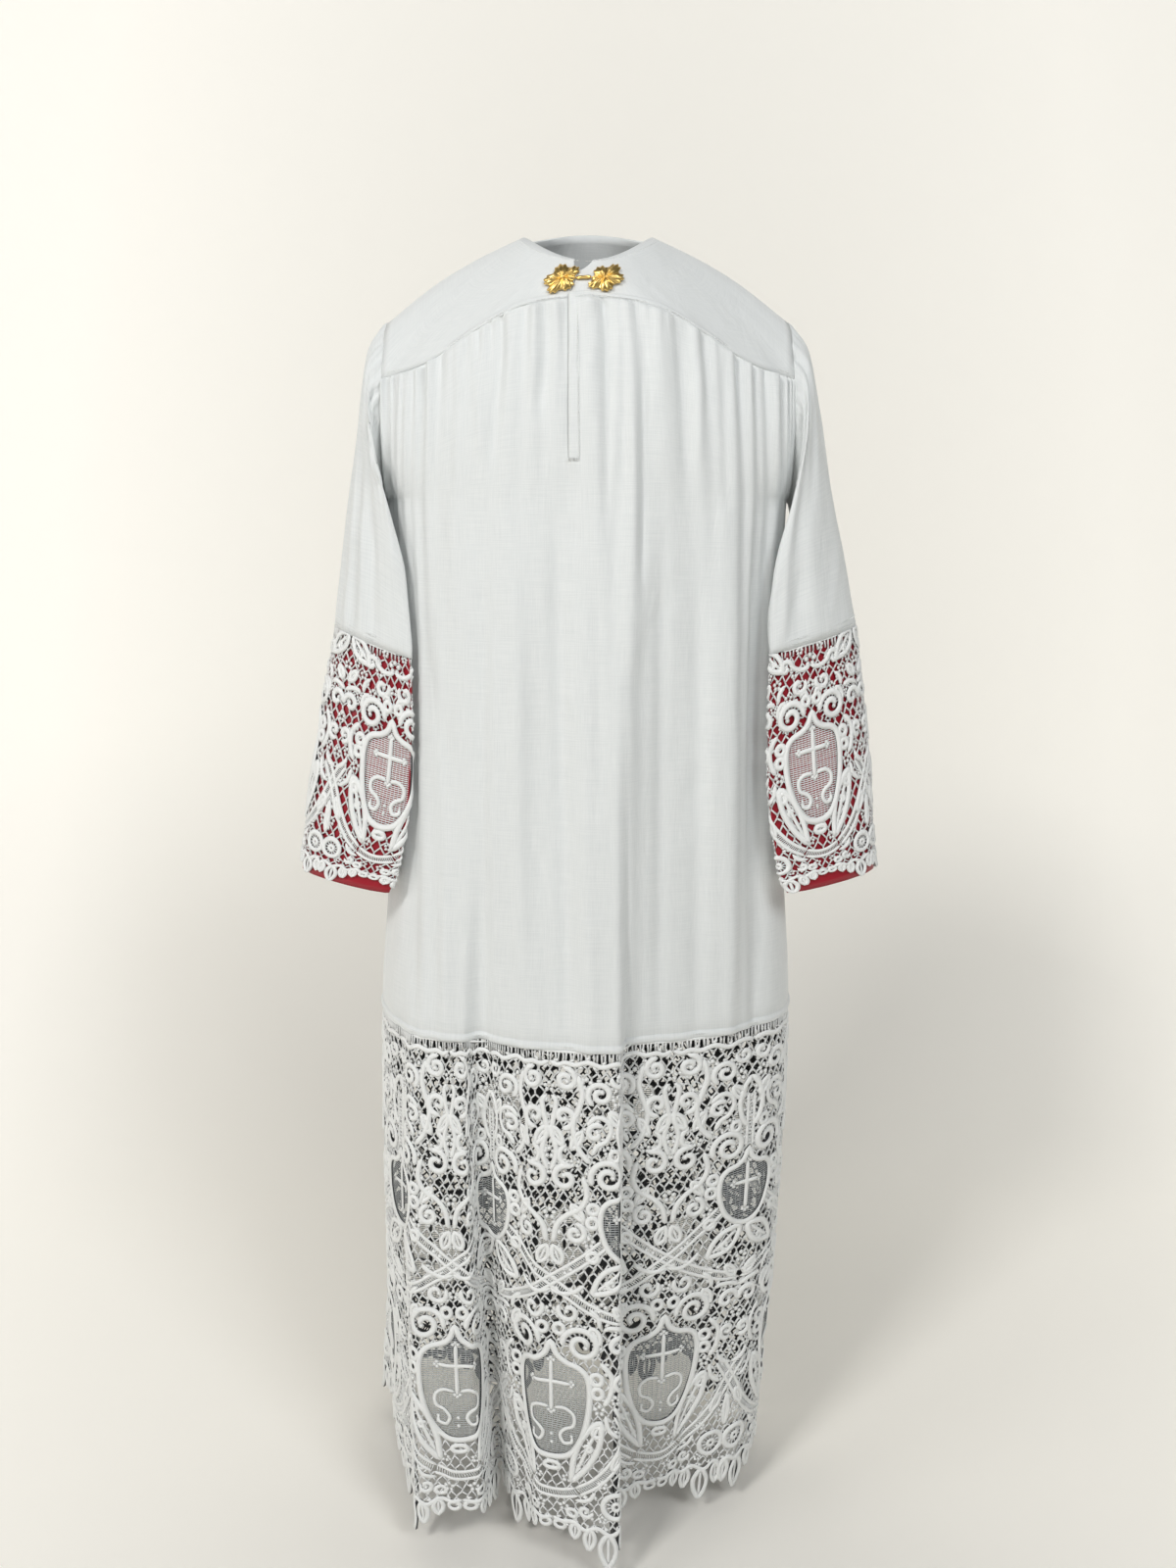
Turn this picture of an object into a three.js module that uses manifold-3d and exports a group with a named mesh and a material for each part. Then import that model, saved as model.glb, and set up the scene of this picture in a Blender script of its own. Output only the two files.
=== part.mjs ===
// A priest's lace-trimmed alb, worn, at full size and hollow.
// White cloth gathered into a shoulder yoke, set-in sleeves, openwork lace round the hem
// and the cuffs, red cuff linings and a two-leaf clasp at the neck.
// Millimetres, +Z up. The origin is between the wearer's shoulders at the base of the neck,
// +X is the wearer's left and -Y is the front.
import * as THREE from 'three';
import Module from 'manifold-3d';

const wasm = await Module();
wasm.setup();

// Cloth thicknesses and the gap that is left where two pieces are sewn together
const CLOTH = 2;
const YOKE_CLOTH = 2.4;
const LACE = 3;
const CUFF_LACE = 2.6;
const LINING = 1.6;
const LINING_GAP = 0.8;
const SEAM_GAP = 0.3;

// Heights of the main lines of the garment
const UNDERARM = -285;
const LACE_SEAM = -892;
const HEM = -1530;

// Neckline and armhole
const NECK = { halfWidth: 72, front: 100, back: 62, frontDrop: 44, sideDrop: 5, backRise: 12 };
const ARMHOLE = { x: 225, lean: 3, z: -188.5, halfHeight: 96.5, halfDepth: 62 };
const YOKE_MEETS_ARMHOLE = 71;
const YOKE_SEAM_SHARE = 0.7;
const YOKE_CROWN = 9;

// Where the yoke is sewn to the gathered fronts and to the back
const FRONT_YOKE_SEAM = [
  { across: 0, forward: 118, down: 81 },
  { across: 70, forward: 114, down: 91 },
  { across: 120, forward: 102, down: 114 },
  { across: 172, forward: 82, down: 143 },
];
const BACK_YOKE_SEAM = [
  { across: 0, forward: -122, down: 116 },
  { across: 70, forward: -118, down: 119 },
  { across: 120, forward: -107, down: 127 },
  { across: 172, forward: -84, down: 143 },
];

// Sections of the body from the underarm to the hem
const BODY = [
  { z: -285, halfWidth: 228, front: 138, back: 122 },
  { z: -420, halfWidth: 226, front: 146, back: 128 },
  { z: -560, halfWidth: 229, front: 150, back: 134 },
  { z: -720, halfWidth: 239, front: 154, back: 140 },
  { z: -892, halfWidth: 253, front: 158, back: 147 },
  { z: -1200, halfWidth: 256, front: 164, back: 158 },
  { z: -1560, halfWidth: 247, front: 168, back: 166 },
];
const BODY_SQUARENESS = 0.9;
const CHEST_BULGE = 7;

// Folds of the skirt, round from the right side seam: where each ridge or valley is, how far
// it stands out and leans along at the hem, and the height at which it dies away
const FOLDS = [
  { at: -90, out: 10, along: 0, top: -700 },
  { at: -74, out: 0, along: 0, top: -640 },
  { at: -60, out: 4, along: 0, top: -560 },
  { at: -49, out: 32, along: 0, top: -420 },
  { at: -40, out: 12, along: 0, top: -420 },
  { at: -34, out: -4, along: 14, top: -480 },
  { at: -27, out: -86, along: -22, top: -640 },
  { at: -19, out: -34, along: 0, top: -600 },
  { at: -11, out: 2, along: 0, top: -480 },
  { at: 5.5, out: 24, along: 6, top: -300 },
  { at: 9.5, out: -48, along: -12, top: -300 },
  { at: 21, out: -54, along: 0, top: -460 },
  { at: 34, out: -64, along: 0, top: -520 },
  { at: 48, out: -54, along: 0, top: -480 },
  { at: 62, out: -42, along: 0, top: -560 },
  { at: 77, out: -32, along: 0, top: -640 },
  { at: 90, out: -24, along: 0, top: -700 },
  { at: 105, out: -26, along: 0, top: -640 },
  { at: 120, out: 16, along: 0, top: -540 },
  { at: 136, out: -20, along: 0, top: -600 },
  { at: 152, out: 22, along: 0, top: -460 },
  { at: 168, out: -18, along: 0, top: -600 },
  { at: 184, out: 20, along: 0, top: -440 },
  { at: 200, out: -18, along: 0, top: -600 },
  { at: 213, out: 10, along: 0, top: -560 },
  { at: 226, out: 38, along: 0, top: -560 },
  { at: 240, out: 104, along: 0, top: -560 },
  { at: 253, out: 34, along: 0, top: -640 },
];
const FOLD_GROWTH = 1.35;

// Soft upright waves that the gathers leave in the cloth down to the lace
const WAVE = { count: 11, height: 5.5, from: -150, middle: -560, to: -1000 };

// Gathers under the yoke seams, one crest or trough for each column
const GATHER = { height: 3, rise: 9, fade: 95 };
const FRONT_COLUMNS = 40;
const BACK_COLUMNS = 32;

// Rows of the panels: shares of the way from yoke seam to underarm, then heights
const CHEST_ROWS = [0, 0.06, 0.17, 0.38, 0.66, 1];
const BODY_ROWS = [-370, -470, -580, -690, -790, LACE_SEAM];

// The sleeve, from the armhole to the wrist: the outer and inner edge of each section, its
// half depth, how far it hangs forward, how far its front laps over the body, and how much
// fuller the left one stands out
const SLEEVE = [
  { outX: 222, outZ: -92, inX: 228, inZ: -285, half: 62, forward: 0, lap: 0, fuller: 0 },
  { outX: 241, outZ: -118, inX: 233.5, inZ: -296, half: 67, forward: 1, lap: 3, fuller: 1 },
  { outX: 252, outZ: -165, inX: 236, inZ: -312, half: 73, forward: 5, lap: 13, fuller: 3 },
  { outX: 263, outZ: -235, inX: 237, inZ: -345, half: 76, forward: 10, lap: 32, fuller: 7 },
  { outX: 276, outZ: -325, inX: 237, inZ: -388, half: 76, forward: 17, lap: 53, fuller: 12 },
  { outX: 291, outZ: -425, inX: 237, inZ: -443, half: 75, forward: 24, lap: 66, fuller: 17 },
  { outX: 306, outZ: -500, inX: 238, inZ: -522, half: 72, forward: 29, lap: 72, fuller: 13 },
  { outX: 322, outZ: -584, inX: 241, inZ: -605, half: 69, forward: 34, lap: 75, fuller: 8 },
  { outX: 335, outZ: -668, inX: 245, inZ: -688, half: 65, forward: 39, lap: 66, fuller: 2 },
  { outX: 343, outZ: -716, inX: 249, inZ: -730, half: 62, forward: 42, lap: 56, fuller: 0 },
];
const CUFF_SEAM = 5;
const SLEEVE_ROWS = [0, 0.3, 1, 2, 3, 4, CUFF_SEAM];
const CUFF_ROWS = [CUFF_SEAM + 0.005, 6, 7, 8, 8.75];
const LINING_ROWS = [CUFF_SEAM + 0.01, 6, 7, 8, 8.8];
const SLEEVE_COLUMNS = 24;
const CUFF_COLUMNS = 20;
const SLEEVE_GATHER = 2.2;
const SLEEVE_SQUARENESS = 0.86;
const CUFF_SCALLOP = 0.1;

// The hem lace: eight equal repeats round the skirt, four to each half
const REPEATS_PER_HALF = 4;
const LACE_ROWS = 8;

// One repeat of the lace. A letter is the gap cut in that cell: o small, O large, . none
const LACE_CHART = [
  '.o.oo.o.',
  '.OO..OO.',
  '.oo..oo.',
  'O.o..o.O',
  'OoO..OoO',
  '..OooO..',
  '..oOOo..',
  '.o.OO.o.',
];
const CUFF_CHART = [
  '.o..o..o..',
  '..........',
  'o........o',
  '..o....o..',
];
const GAPS = {
  o: { wide: 0.56, tall: 0.3, sides: 4 },
  O: { wide: 0.68, tall: 0.36, sides: 6 },
};

// How far the lowest row of the lace hangs or lifts at each column of a repeat
const HEM_SCALLOP = [20, 10, -6, 2, -12, 2, -6, 10];

// The neck slit and the clasp over it
const SLIT = { angle: -5.2, width: 1, bottom: -245 };
const SLIT_OPENS = 0.05;
const CLASP = {
  reach: 37, half: 14, thick: 2, lift: 1.2, from: 5.5, shift: 5, share: 0.52, points: 20,
};
const HOOK = { reach: 7.5, half: 3.4, points: 12 };

const radians = THREE.MathUtils.degToRad;
const clamp = THREE.MathUtils.clamp;
const mix = THREE.MathUtils.lerp;

function vector(x, y, z) {
  return new THREE.Vector3(x, y, z);
}

// A smooth value from a table of rows: the rows' key rises or falls steadily
function fromTable(rows, key, at, column) {
  const rising = rows[rows.length - 1][key] > rows[0][key];
  let i = 0;
  while (i < rows.length - 2 && (rising ? at > rows[i + 1][key] : at < rows[i + 1][key])) i++;
  const low = rows[i];
  const high = rows[i + 1];
  const t = clamp((at - low[key]) / (high[key] - low[key]), 0, 1);
  const before = rows[Math.max(i - 1, 0)];
  const after = rows[Math.min(i + 2, rows.length - 1)];
  const slope = (a, b) => (b[key] === a[key] ? 0 : (b[column] - a[column]) / (b[key] - a[key]));
  const span = high[key] - low[key];
  const m0 = slope(before, high) * span;
  const m1 = slope(low, after) * span;
  const t2 = t * t;
  const t3 = t2 * t;
  return (2 * t3 - 3 * t2 + 1) * low[column] + (t3 - 2 * t2 + t) * m0
    + (3 * t2 - 2 * t3) * high[column] + (t3 - t2) * m1;
}

// The fold's stand-out and lean at an angle round the skirt and a height
function foldAt(angle, z) {
  const turn = THREE.MathUtils.euclideanModulo(angle + 90, 360) - 90;
  let i = FOLDS.length - 1;
  while (i > 0 && FOLDS[i].at > turn) i--;
  const low = FOLDS[i];
  const high = FOLDS[(i + 1) % FOLDS.length];
  const end = i === FOLDS.length - 1 ? 270 : high.at;
  const t = (turn - low.at) / (end - low.at);
  const ease = t * t * (3 - 2 * t);
  const grown = (fold) => clamp((fold.top - z) / (fold.top - HEM), 0, 1.1) ** FOLD_GROWTH;
  return {
    out: mix(low.out * grown(low), high.out * grown(high), ease),
    along: mix(low.along * grown(low), high.along * grown(high), ease),
  };
}

// The soft waves, strongest at the middle of the body
function waveAt(angle, z) {
  const above = clamp((WAVE.from - z) / (WAVE.from - WAVE.middle), 0, 1);
  const below = clamp((z - WAVE.to) / (WAVE.middle - WAVE.to), 0, 1);
  const share = Math.min(above, below);
  const uneven = 0.65 + 0.35 * Math.sin(radians(2.3 * angle) + 0.7);
  return WAVE.height * share * uneven * Math.sin(radians(WAVE.count * angle) + 0.4);
}

// The outer face of the body below the underarm; angle 0 is centre front, 90 the left side
function bodyPoint(angle, z) {
  const s = Math.sin(radians(angle));
  const c = Math.cos(radians(angle));
  const width = fromTable(BODY, 'z', z, 'halfWidth');
  const depth = fromTable(BODY, 'z', z, c > 0 ? 'front' : 'back');
  const x = width * Math.sign(s) * Math.abs(s) ** BODY_SQUARENESS;
  const y = -depth * Math.sign(c) * Math.abs(c) ** BODY_SQUARENESS;
  const out = vector(s * depth, -c * width, 0).normalize();
  const along = vector(-out.y, out.x, 0);
  const fold = foldAt(angle, z);
  const stand = fold.out + waveAt(angle, z);
  return vector(x, y, z).addScaledVector(out, stand).addScaledVector(along, fold.along);
}

// The armhole of the left side: 0 is the shoulder tip, 90 the foremost point, 180 the underarm
function armholePoint(turn) {
  const c = Math.cos(radians(turn));
  return vector(
    ARMHOLE.x - ARMHOLE.lean * c,
    -ARMHOLE.halfDepth * Math.sin(radians(turn)),
    ARMHOLE.z + ARMHOLE.halfHeight * c,
  );
}

function mirrored(point, side) {
  return side < 0 ? vector(-point.x, point.y, point.z) : point;
}

// The yoke seam of the front (facing 1) or back (facing -1); angle runs from -90 to 90 across
function yokeSeam(facing, angle) {
  const end = armholePoint(facing * YOKE_MEETS_ARMHOLE);
  const table = facing > 0 ? FRONT_YOKE_SEAM : BACK_YOKE_SEAM;
  const rows = [...table, { across: end.x, forward: -end.y, down: -end.z }];
  const across = end.x * Math.abs(Math.sin(radians(angle)));
  const point = vector(
    across,
    -fromTable(rows, 'across', across, 'forward'),
    -fromTable(rows, 'across', across, 'down'),
  );
  return mirrored(point, Math.sign(angle));
}

// The panel between yoke seam and underarm level: share runs down from 0 to 1
function chestPoint(facing, angle, share) {
  const side = Math.sign(angle);
  const top = yokeSeam(facing, angle);
  const bodyAngle = facing > 0 ? angle : 180 - angle;
  const low = bodyPoint(bodyAngle, UNDERARM);
  const armTurn = mix(YOKE_MEETS_ARMHOLE, 180, share);
  const arm = mirrored(armholePoint(facing * armTurn), side);
  const armTop = mirrored(armholePoint(facing * YOKE_MEETS_ARMHOLE), side);
  const armLow = mirrored(armholePoint(180), side);
  const pull = Math.abs(Math.sin(radians(angle))) ** 5;
  const point = top.clone().lerp(low, share);
  const straight = armTop.lerp(armLow, share);
  const end = facing > 0 ? bodyPoint(side * 90, UNDERARM) : bodyPoint(180 - side * 90, UNDERARM);
  const drift = armLow.clone().sub(end).multiplyScalar(share);
  point.addScaledVector(arm.sub(straight).add(drift), pull);
  point.y -= facing * CHEST_BULGE * Math.sin(Math.PI * share) * (1 - pull);
  return point;
}

// The neckline, from 0 at centre front to 180 at centre back
function neckPoint(angle) {
  const s = Math.sin(radians(angle));
  const c = Math.cos(radians(angle));
  const depth = c > 0 ? NECK.front : NECK.back;
  const drop = mix(NECK.sideDrop, c > 0 ? NECK.frontDrop : -NECK.backRise, c * c);
  return vector(NECK.halfWidth * s, -depth * c, -drop);
}

// The yoke: along runs from 0 at the centre to 1 at the shoulder line, share from neck to seam
function yokePoint(facing, along, share) {
  const side = along < 0 ? -1 : 1;
  const way = Math.abs(along);
  const neckAngle = facing > 0 ? 90 * way : 180 - 90 * way;
  const inner = mirrored(neckPoint(neckAngle), side);
  const onSeam = way <= YOKE_SEAM_SHARE;
  const turn = YOKE_MEETS_ARMHOLE * (1 - (way - YOKE_SEAM_SHARE) / (1 - YOKE_SEAM_SHARE));
  const outer = onSeam
    ? yokeSeam(facing, side * 90 * way / YOKE_SEAM_SHARE)
    : mirrored(armholePoint(facing * turn), side);
  const point = inner.lerp(outer, share);
  const crown = YOKE_CROWN * Math.sin(Math.PI * share) * Math.sin(radians(90 * way));
  const lift = vector(point.x, point.y, 140).normalize();
  return point.addScaledVector(lift, crown);
}

// The way down the cloth, and its outward normal, where yoke and panel meet
function seamFrame(facing, angle) {
  const step = 0.5;
  const along = angle / 90 * YOKE_SEAM_SHARE;
  const seam = yokeSeam(facing, angle);
  const above = seam.clone().sub(yokePoint(facing, along, 0.9)).normalize();
  const below = chestPoint(facing, angle, 0.1).sub(seam).normalize();
  const down = above.add(below).normalize();
  const right = yokeSeam(facing, Math.max(angle - step, -90));
  const left = yokeSeam(facing, Math.min(angle + step, 90));
  const normal = left.sub(right).cross(down).normalize();
  if (normal.y * facing > 0) normal.negate();
  return { down, normal };
}

// The direction through a point that leans equally to both its neighbours
function bisector(before, point, after) {
  const come = point.clone().sub(before).normalize();
  const go = after.clone().sub(point).normalize();
  return come.add(go).normalize();
}

// Outward normals of a grid of points; within gives a point inside the garment for each
function gridNormals(grid, within, around) {
  let outward = 0;
  const normals = grid.map((row, r) => row.map((point, c) => {
    const last = row.length - 1;
    const left = around ? row[(c + last) % row.length] : row[Math.max(c - 1, 0)];
    const right = around ? row[(c + 1) % row.length] : row[Math.min(c + 1, last)];
    const up = grid[Math.max(r - 1, 0)][c];
    const down = grid[Math.min(r + 1, grid.length - 1)][c];
    const normal = bisector(left, point, right).cross(bisector(up, point, down)).normalize();
    outward += normal.dot(point.clone().sub(within(point, r)));
    return normal;
  }));
  if (outward < 0) normals.flat().forEach((normal) => normal.negate());
  return normals;
}

// Collects the points and triangles of one solid
class Solid {
  constructor() {
    this.positions = [];
    this.triangles = [];
  }

  point(p) {
    this.positions.push(p.x, p.y, p.z);
    return this.positions.length / 3 - 1;
  }

  quad(a, b, c, d) {
    this.triangles.push([a, b, c], [a, c, d]);
  }

  geometry() {
    const at = (i) => vector(...this.positions.slice(3 * i, 3 * i + 3));
    const volume = this.triangles.reduce((sum, [a, b, c]) => sum + at(a).dot(at(b).cross(at(c))), 0);
    const index = volume < 0 ? this.triangles.map(([a, b, c]) => [a, c, b]) : this.triangles;
    const geometry = new THREE.BufferGeometry();
    geometry.setAttribute('position', new THREE.Float32BufferAttribute(this.positions, 3));
    geometry.setIndex(index.flat());
    return geometry;
  }
}

// The loop of a gap inside one cell, as shares across and down the cell
function gapLoop(gap) {
  return Array.from({ length: gap.sides }, (_, i) => {
    const turn = 2 * Math.PI * i / gap.sides - Math.PI / 2;
    return { u: 0.5 + gap.wide / 2 * Math.cos(turn), v: 0.5 + gap.tall / 2 * Math.sin(turn) };
  });
}

// Joins a cell's four corners to the gap inside it, going round both loops together
function ringAround(solid, corners, hole) {
  const turnOf = (k, count, start) => start + k / count;
  let i = 0;
  let j = 0;
  while (i < corners.length || j < hole.length) {
    const nextCorner = turnOf(i + 0.5, corners.length, -0.125);
    const nextHole = turnOf(j + 0.5, hole.length, 0);
    const a = corners[i % corners.length];
    const h = hole[j % hole.length];
    if (j >= hole.length || (i < corners.length && nextCorner <= nextHole)) {
      solid.triangles.push([a, corners[(i + 1) % corners.length], h]);
      i++;
    } else {
      solid.triangles.push([a, hole[(j + 1) % hole.length], h]);
      j++;
    }
  }
}

// A wall of cloth: outer points, the same points moved in, rims, and gaps where cut says so
function clothWall(outer, normals, thickness, { around = false, cut = () => null } = {}) {
  const solid = new Solid();
  const movedIn = (p, r, c) => p.clone().addScaledVector(normals[r][c], -thickness);
  const inner = outer.map((row, r) => row.map((p, c) => movedIn(p, r, c)));
  const faces = [outer, inner].map((grid) => grid.map((row) => row.map((p) => solid.point(p))));
  const columns = outer[0].length;
  const cells = around ? columns : columns - 1;
  const next = (c) => (c + 1) % columns;
  for (let r = 0; r < outer.length - 1; r++) {
    for (let c = 0; c < cells; c++) {
      const gap = cut(r, c);
      const cell = [[r, c], [r, next(c)], [r + 1, next(c)], [r + 1, c]];
      const loops = faces.map((ids) => cell.map(([row, col]) => ids[row][col]));
      if (!gap) {
        const [a, b, d, e] = loops[1];
        solid.quad(...loops[0]);
        solid.triangles.push([a, d, b], [a, e, d]);
        continue;
      }
      const holes = [outer, inner].map((grid) => gapLoop(gap).map(({ u, v }) => {
        const top = grid[r][c].clone().lerp(grid[r][next(c)], u);
        const low = grid[r + 1][c].clone().lerp(grid[r + 1][next(c)], u);
        return solid.point(top.lerp(low, v));
      }));
      ringAround(solid, loops[0], holes[0]);
      const start = solid.triangles.length;
      ringAround(solid, loops[1], holes[1]);
      solid.triangles.slice(start).forEach((t) => t.reverse());
      holes[0].forEach((id, k) => {
        const after = (k + 1) % holes[0].length;
        solid.quad(id, holes[0][after], holes[1][after], holes[1][k]);
      });
    }
  }
  const [out, inn] = faces;
  const last = outer.length - 1;
  for (let c = 0; c < cells; c++) {
    solid.quad(out[0][next(c)], out[0][c], inn[0][c], inn[0][next(c)]);
    solid.quad(out[last][c], out[last][next(c)], inn[last][next(c)], inn[last][c]);
  }
  for (let r = 0; r < last && !around; r++) {
    const end = columns - 1;
    solid.quad(out[r][0], out[r + 1][0], inn[r + 1][0], inn[r][0]);
    solid.quad(out[r + 1][end], out[r][end], inn[r][end], inn[r + 1][end]);
  }
  return solid.geometry();
}

const axisPoint = (p) => vector(0, 0, p.z - 1);

// A front or back panel, gathered under its yoke seam
function panelGeometry(facing, columns) {
  const angles = Array.from({ length: columns + 1 }, (_, j) => mix(-90, 90, j / columns));
  const apart = (p, angle) => {
    if (Math.abs(angle) === 90) p.y -= facing * SEAM_GAP / 2;
    return p;
  };
  const chest = CHEST_ROWS.map((share) => angles.map((angle) => {
    const point = chestPoint(facing, angle, share);
    if (share === 0) point.addScaledVector(seamFrame(facing, angle).down, SEAM_GAP);
    return share === 1 ? apart(point, angle) : point;
  }));
  const body = BODY_ROWS.map((z) => angles.map((angle) => (
    apart(bodyPoint(facing > 0 ? angle : 180 - angle, z), angle)
  )));
  const smooth = [...chest, ...body];
  const normals = gridNormals(smooth, axisPoint, false);
  normals[0] = angles.map((angle) => seamFrame(facing, angle).normal);
  const side = smooth[0].length - 1;
  for (let r = CHEST_ROWS.length - 1; r < smooth.length; r++) {
    normals[r][0] = vector(-1, 0, 0);
    normals[r][side] = vector(1, 0, 0);
  }
  const gathered = smooth.map((row, r) => row.map((point, j) => {
    const below = Math.abs(point.distanceTo(smooth[0][j]));
    const start = clamp(below / GATHER.rise, 0, 1);
    const edge = clamp((side / 2 - Math.abs(j - side / 2)) / 2, 0, 1);
    const uneven = 0.75 + 0.25 * Math.sin(3.7 * j);
    const height = GATHER.height * start * edge * uneven * Math.exp(-below / GATHER.fade);
    const crest = j % 2 ? 1 : -1;
    return point.clone().addScaledVector(normals[r][j], r === 0 ? 0 : crest * height);
  }));
  return clothWall(gathered, normals, CLOTH);
}

// Cuts the closed neck slit down the front panel
function withSlit(geometry) {
  const solidOf = (g) => new wasm.Manifold(new wasm.Mesh({
    numProp: 3,
    vertProperties: new Float32Array(g.getAttribute('position').array),
    triVerts: new Uint32Array(g.index.array),
  }));
  const x = yokeSeam(1, SLIT.angle).x;
  const tall = 200;
  const box = new THREE.BoxGeometry(SLIT.width, 60, tall);
  box.translate(x, -FRONT_YOKE_SEAM[0].forward, SLIT.bottom + tall / 2);
  const corners = box.getAttribute('position');
  const plain = new THREE.BufferGeometry();
  const shared = new Map();
  const positions = [];
  const ids = Array.from(box.index.array, (i) => {
    const key = [corners.getX(i), corners.getY(i), corners.getZ(i)].join();
    if (!shared.has(key)) {
      shared.set(key, shared.size);
      positions.push(corners.getX(i), corners.getY(i), corners.getZ(i));
    }
    return shared.get(key);
  });
  plain.setAttribute('position', new THREE.Float32BufferAttribute(positions, 3));
  plain.setIndex(ids);
  const cut = solidOf(geometry).subtract(solidOf(plain)).getMesh();
  const result = new THREE.BufferGeometry();
  result.setAttribute('position', new THREE.Float32BufferAttribute(cut.vertProperties, 3));
  result.setIndex(Array.from(cut.triVerts));
  return result;
}

// A yoke piece from its centre edge to the shoulder line; side -1 is the wearer's right
function yokeGeometry(facing, side) {
  const seamColumns = (facing > 0 ? FRONT_COLUMNS : BACK_COLUMNS) / 2;
  const seamStep = YOKE_SEAM_SHARE / seamColumns;
  const sleeveColumns = 6;
  const fromCentre = facing > 0 ? SLIT.angle / 90 * YOKE_SEAM_SHARE * side : -1;
  const ways = [];
  for (let way = 0; way <= seamColumns; way++) ways.push(way * seamStep);
  for (let k = 1; k <= sleeveColumns; k++) ways.push(mix(YOKE_SEAM_SHARE, 1, k / sleeveColumns));
  const list = facing > 0
    ? [...(fromCentre < 0 ? [fromCentre] : []), ...ways.filter((w) => w >= fromCentre - 1e-9)]
    : [...ways.slice(1).reverse().map((w) => -w), ...ways];
  const shares = [0, 0.35, 0.7, 1];
  const grid = shares.map((share) => list.map((way, k) => {
    const along = facing > 0 ? side * way : way;
    const open = facing > 0 && k === 0 ? side * SLIT_OPENS * (1 - share) : 0;
    const point = yokePoint(facing, along + open, share);
    if (facing > 0 && k === 0) point.x += side * SLIT.width / 2;
    if (Math.abs(way) === 1) point.y -= facing * SEAM_GAP / 2;
    return point;
  }));
  const normals = gridNormals(grid, (p) => vector(p.x * 0.3, p.y * 0.3, p.z - 60), false);
  const last = shares.length - 1;
  list.forEach((way, k) => {
    if (Math.abs(way) > YOKE_SEAM_SHARE) return;
    const along = facing > 0 ? side * way : way;
    normals[last][k] = seamFrame(facing, along / YOKE_SEAM_SHARE * 90).normal;
  });
  for (const k of facing > 0 ? [list.length - 1] : [0, list.length - 1]) {
    shares.forEach((share, r) => {
      normals[r][k].y = 0;
      normals[r][k].normalize();
    });
  }
  return clothWall(grid, normals, YOKE_CLOTH);
}

// The outer face of the left sleeve: turn 0 is its outer edge, 90 its front, 180 its inner edge
function sleevePoint(turn, row, side) {
  const rows = SLEEVE.map((section, i) => ({ ...section, i }));
  const at = (column) => fromTable(rows, 'i', row, column);
  const fuller = side > 0 ? at('fuller') : 0;
  const outer = vector(at('outX') + fuller, -at('forward'), at('outZ'));
  const inner = vector(at('inX'), -at('forward'), at('inZ'));
  const power = mix(1, SLEEVE_SQUARENESS, clamp(row, 0, 1));
  const c = Math.cos(radians(turn));
  const s = Math.sin(radians(turn));
  const along = Math.sign(c) * Math.abs(c) ** power;
  const point = outer.clone().add(inner).multiplyScalar(0.5);
  const across = outer.sub(inner);
  point.addScaledVector(across, along / 2);
  point.y -= at('half') * Math.sign(s) * Math.abs(s) ** power;
  if (s < 0) return point;
  const lap = at('lap') * s * s;
  point.x -= lap;
  point.z -= lap * across.z / across.x * clamp(row - CUFF_SEAM + 1, 0, 1);
  return point;
}

// The outward normal in the plane of a sleeve section, so that seams there meet flat
function sectionNormal(turn, step, row, side) {
  const around = bisector(...[turn - step, turn, turn + step].map((t) => sleevePoint(t, row, side)));
  const across = sleevePoint(0, row, side).sub(sleevePoint(180, row, side));
  return across.cross(vector(0, 1, 0)).cross(around).normalize();
}

function sleeveCentre(row, side) {
  return sleevePoint(90, row, side).add(sleevePoint(270, row, side)).multiplyScalar(0.5);
}

// A tube, or half a tube, along the sleeve
function sleeveGrid(rows, columns, from, to, side, inset = 0, edge = () => 0) {
  const around = to - from === 360;
  const count = around ? columns : columns + 1;
  const turns = Array.from({ length: count }, (_, j) => mix(from, to, j / columns));
  const grid = rows.map((row, r) => turns.map((turn, j) => {
    const low = r === rows.length - 1 ? edge(j) : 0;
    return sleevePoint(turn, row + low, side);
  }));
  const centre = (p, r) => sleeveCentre(rows[r], side);
  const normals = gridNormals(grid, centre, around);
  grid.forEach((row, r) => row.forEach((point, j) => {
    const step = (to - from) / columns;
    const atSeam = Math.abs(rows[r] - CUFF_SEAM) < 0.1;
    if (atSeam) normals[r][j] = sectionNormal(turns[j], step, rows[r], side);
    if (rows[r] === 0) normals[r][j] = point.clone().sub(centre(point, r)).setX(0).normalize();
    if (!around && (j === 0 || j === columns)) normals[r][j].setY(0).normalize();
  }));
  grid.forEach((row, r) => row.forEach((point, j) => {
    point.addScaledVector(normals[r][j], -inset);
    if (rows[0] === 0) point.x += SEAM_GAP;
    if (!around && (j === 0 || j === columns)) point.y -= Math.sign(180 - from - 1) * SEAM_GAP / 2;
  }));
  const flip = (v) => mirrored(v, side);
  return { grid: grid.map((row) => row.map(flip)), normals: normals.map((row) => row.map(flip)) };
}

function sleeveGeometry(side) {
  const { grid, normals } = sleeveGrid(SLEEVE_ROWS, SLEEVE_COLUMNS, 0, 360, side);
  grid.forEach((row, r) => row.forEach((point, j) => {
    const share = SLEEVE_ROWS[r];
    const head = Math.max(0, Math.cos(radians(360 * j / SLEEVE_COLUMNS)));
    const height = SLEEVE_GATHER * head * (share > 0 && share < 3 ? 1 - share / 3 : 0);
    point.addScaledVector(normals[r][j], (j % 2 ? 1 : -1) * height);
  }));
  return clothWall(grid, normals, CLOTH, { around: true });
}

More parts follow.
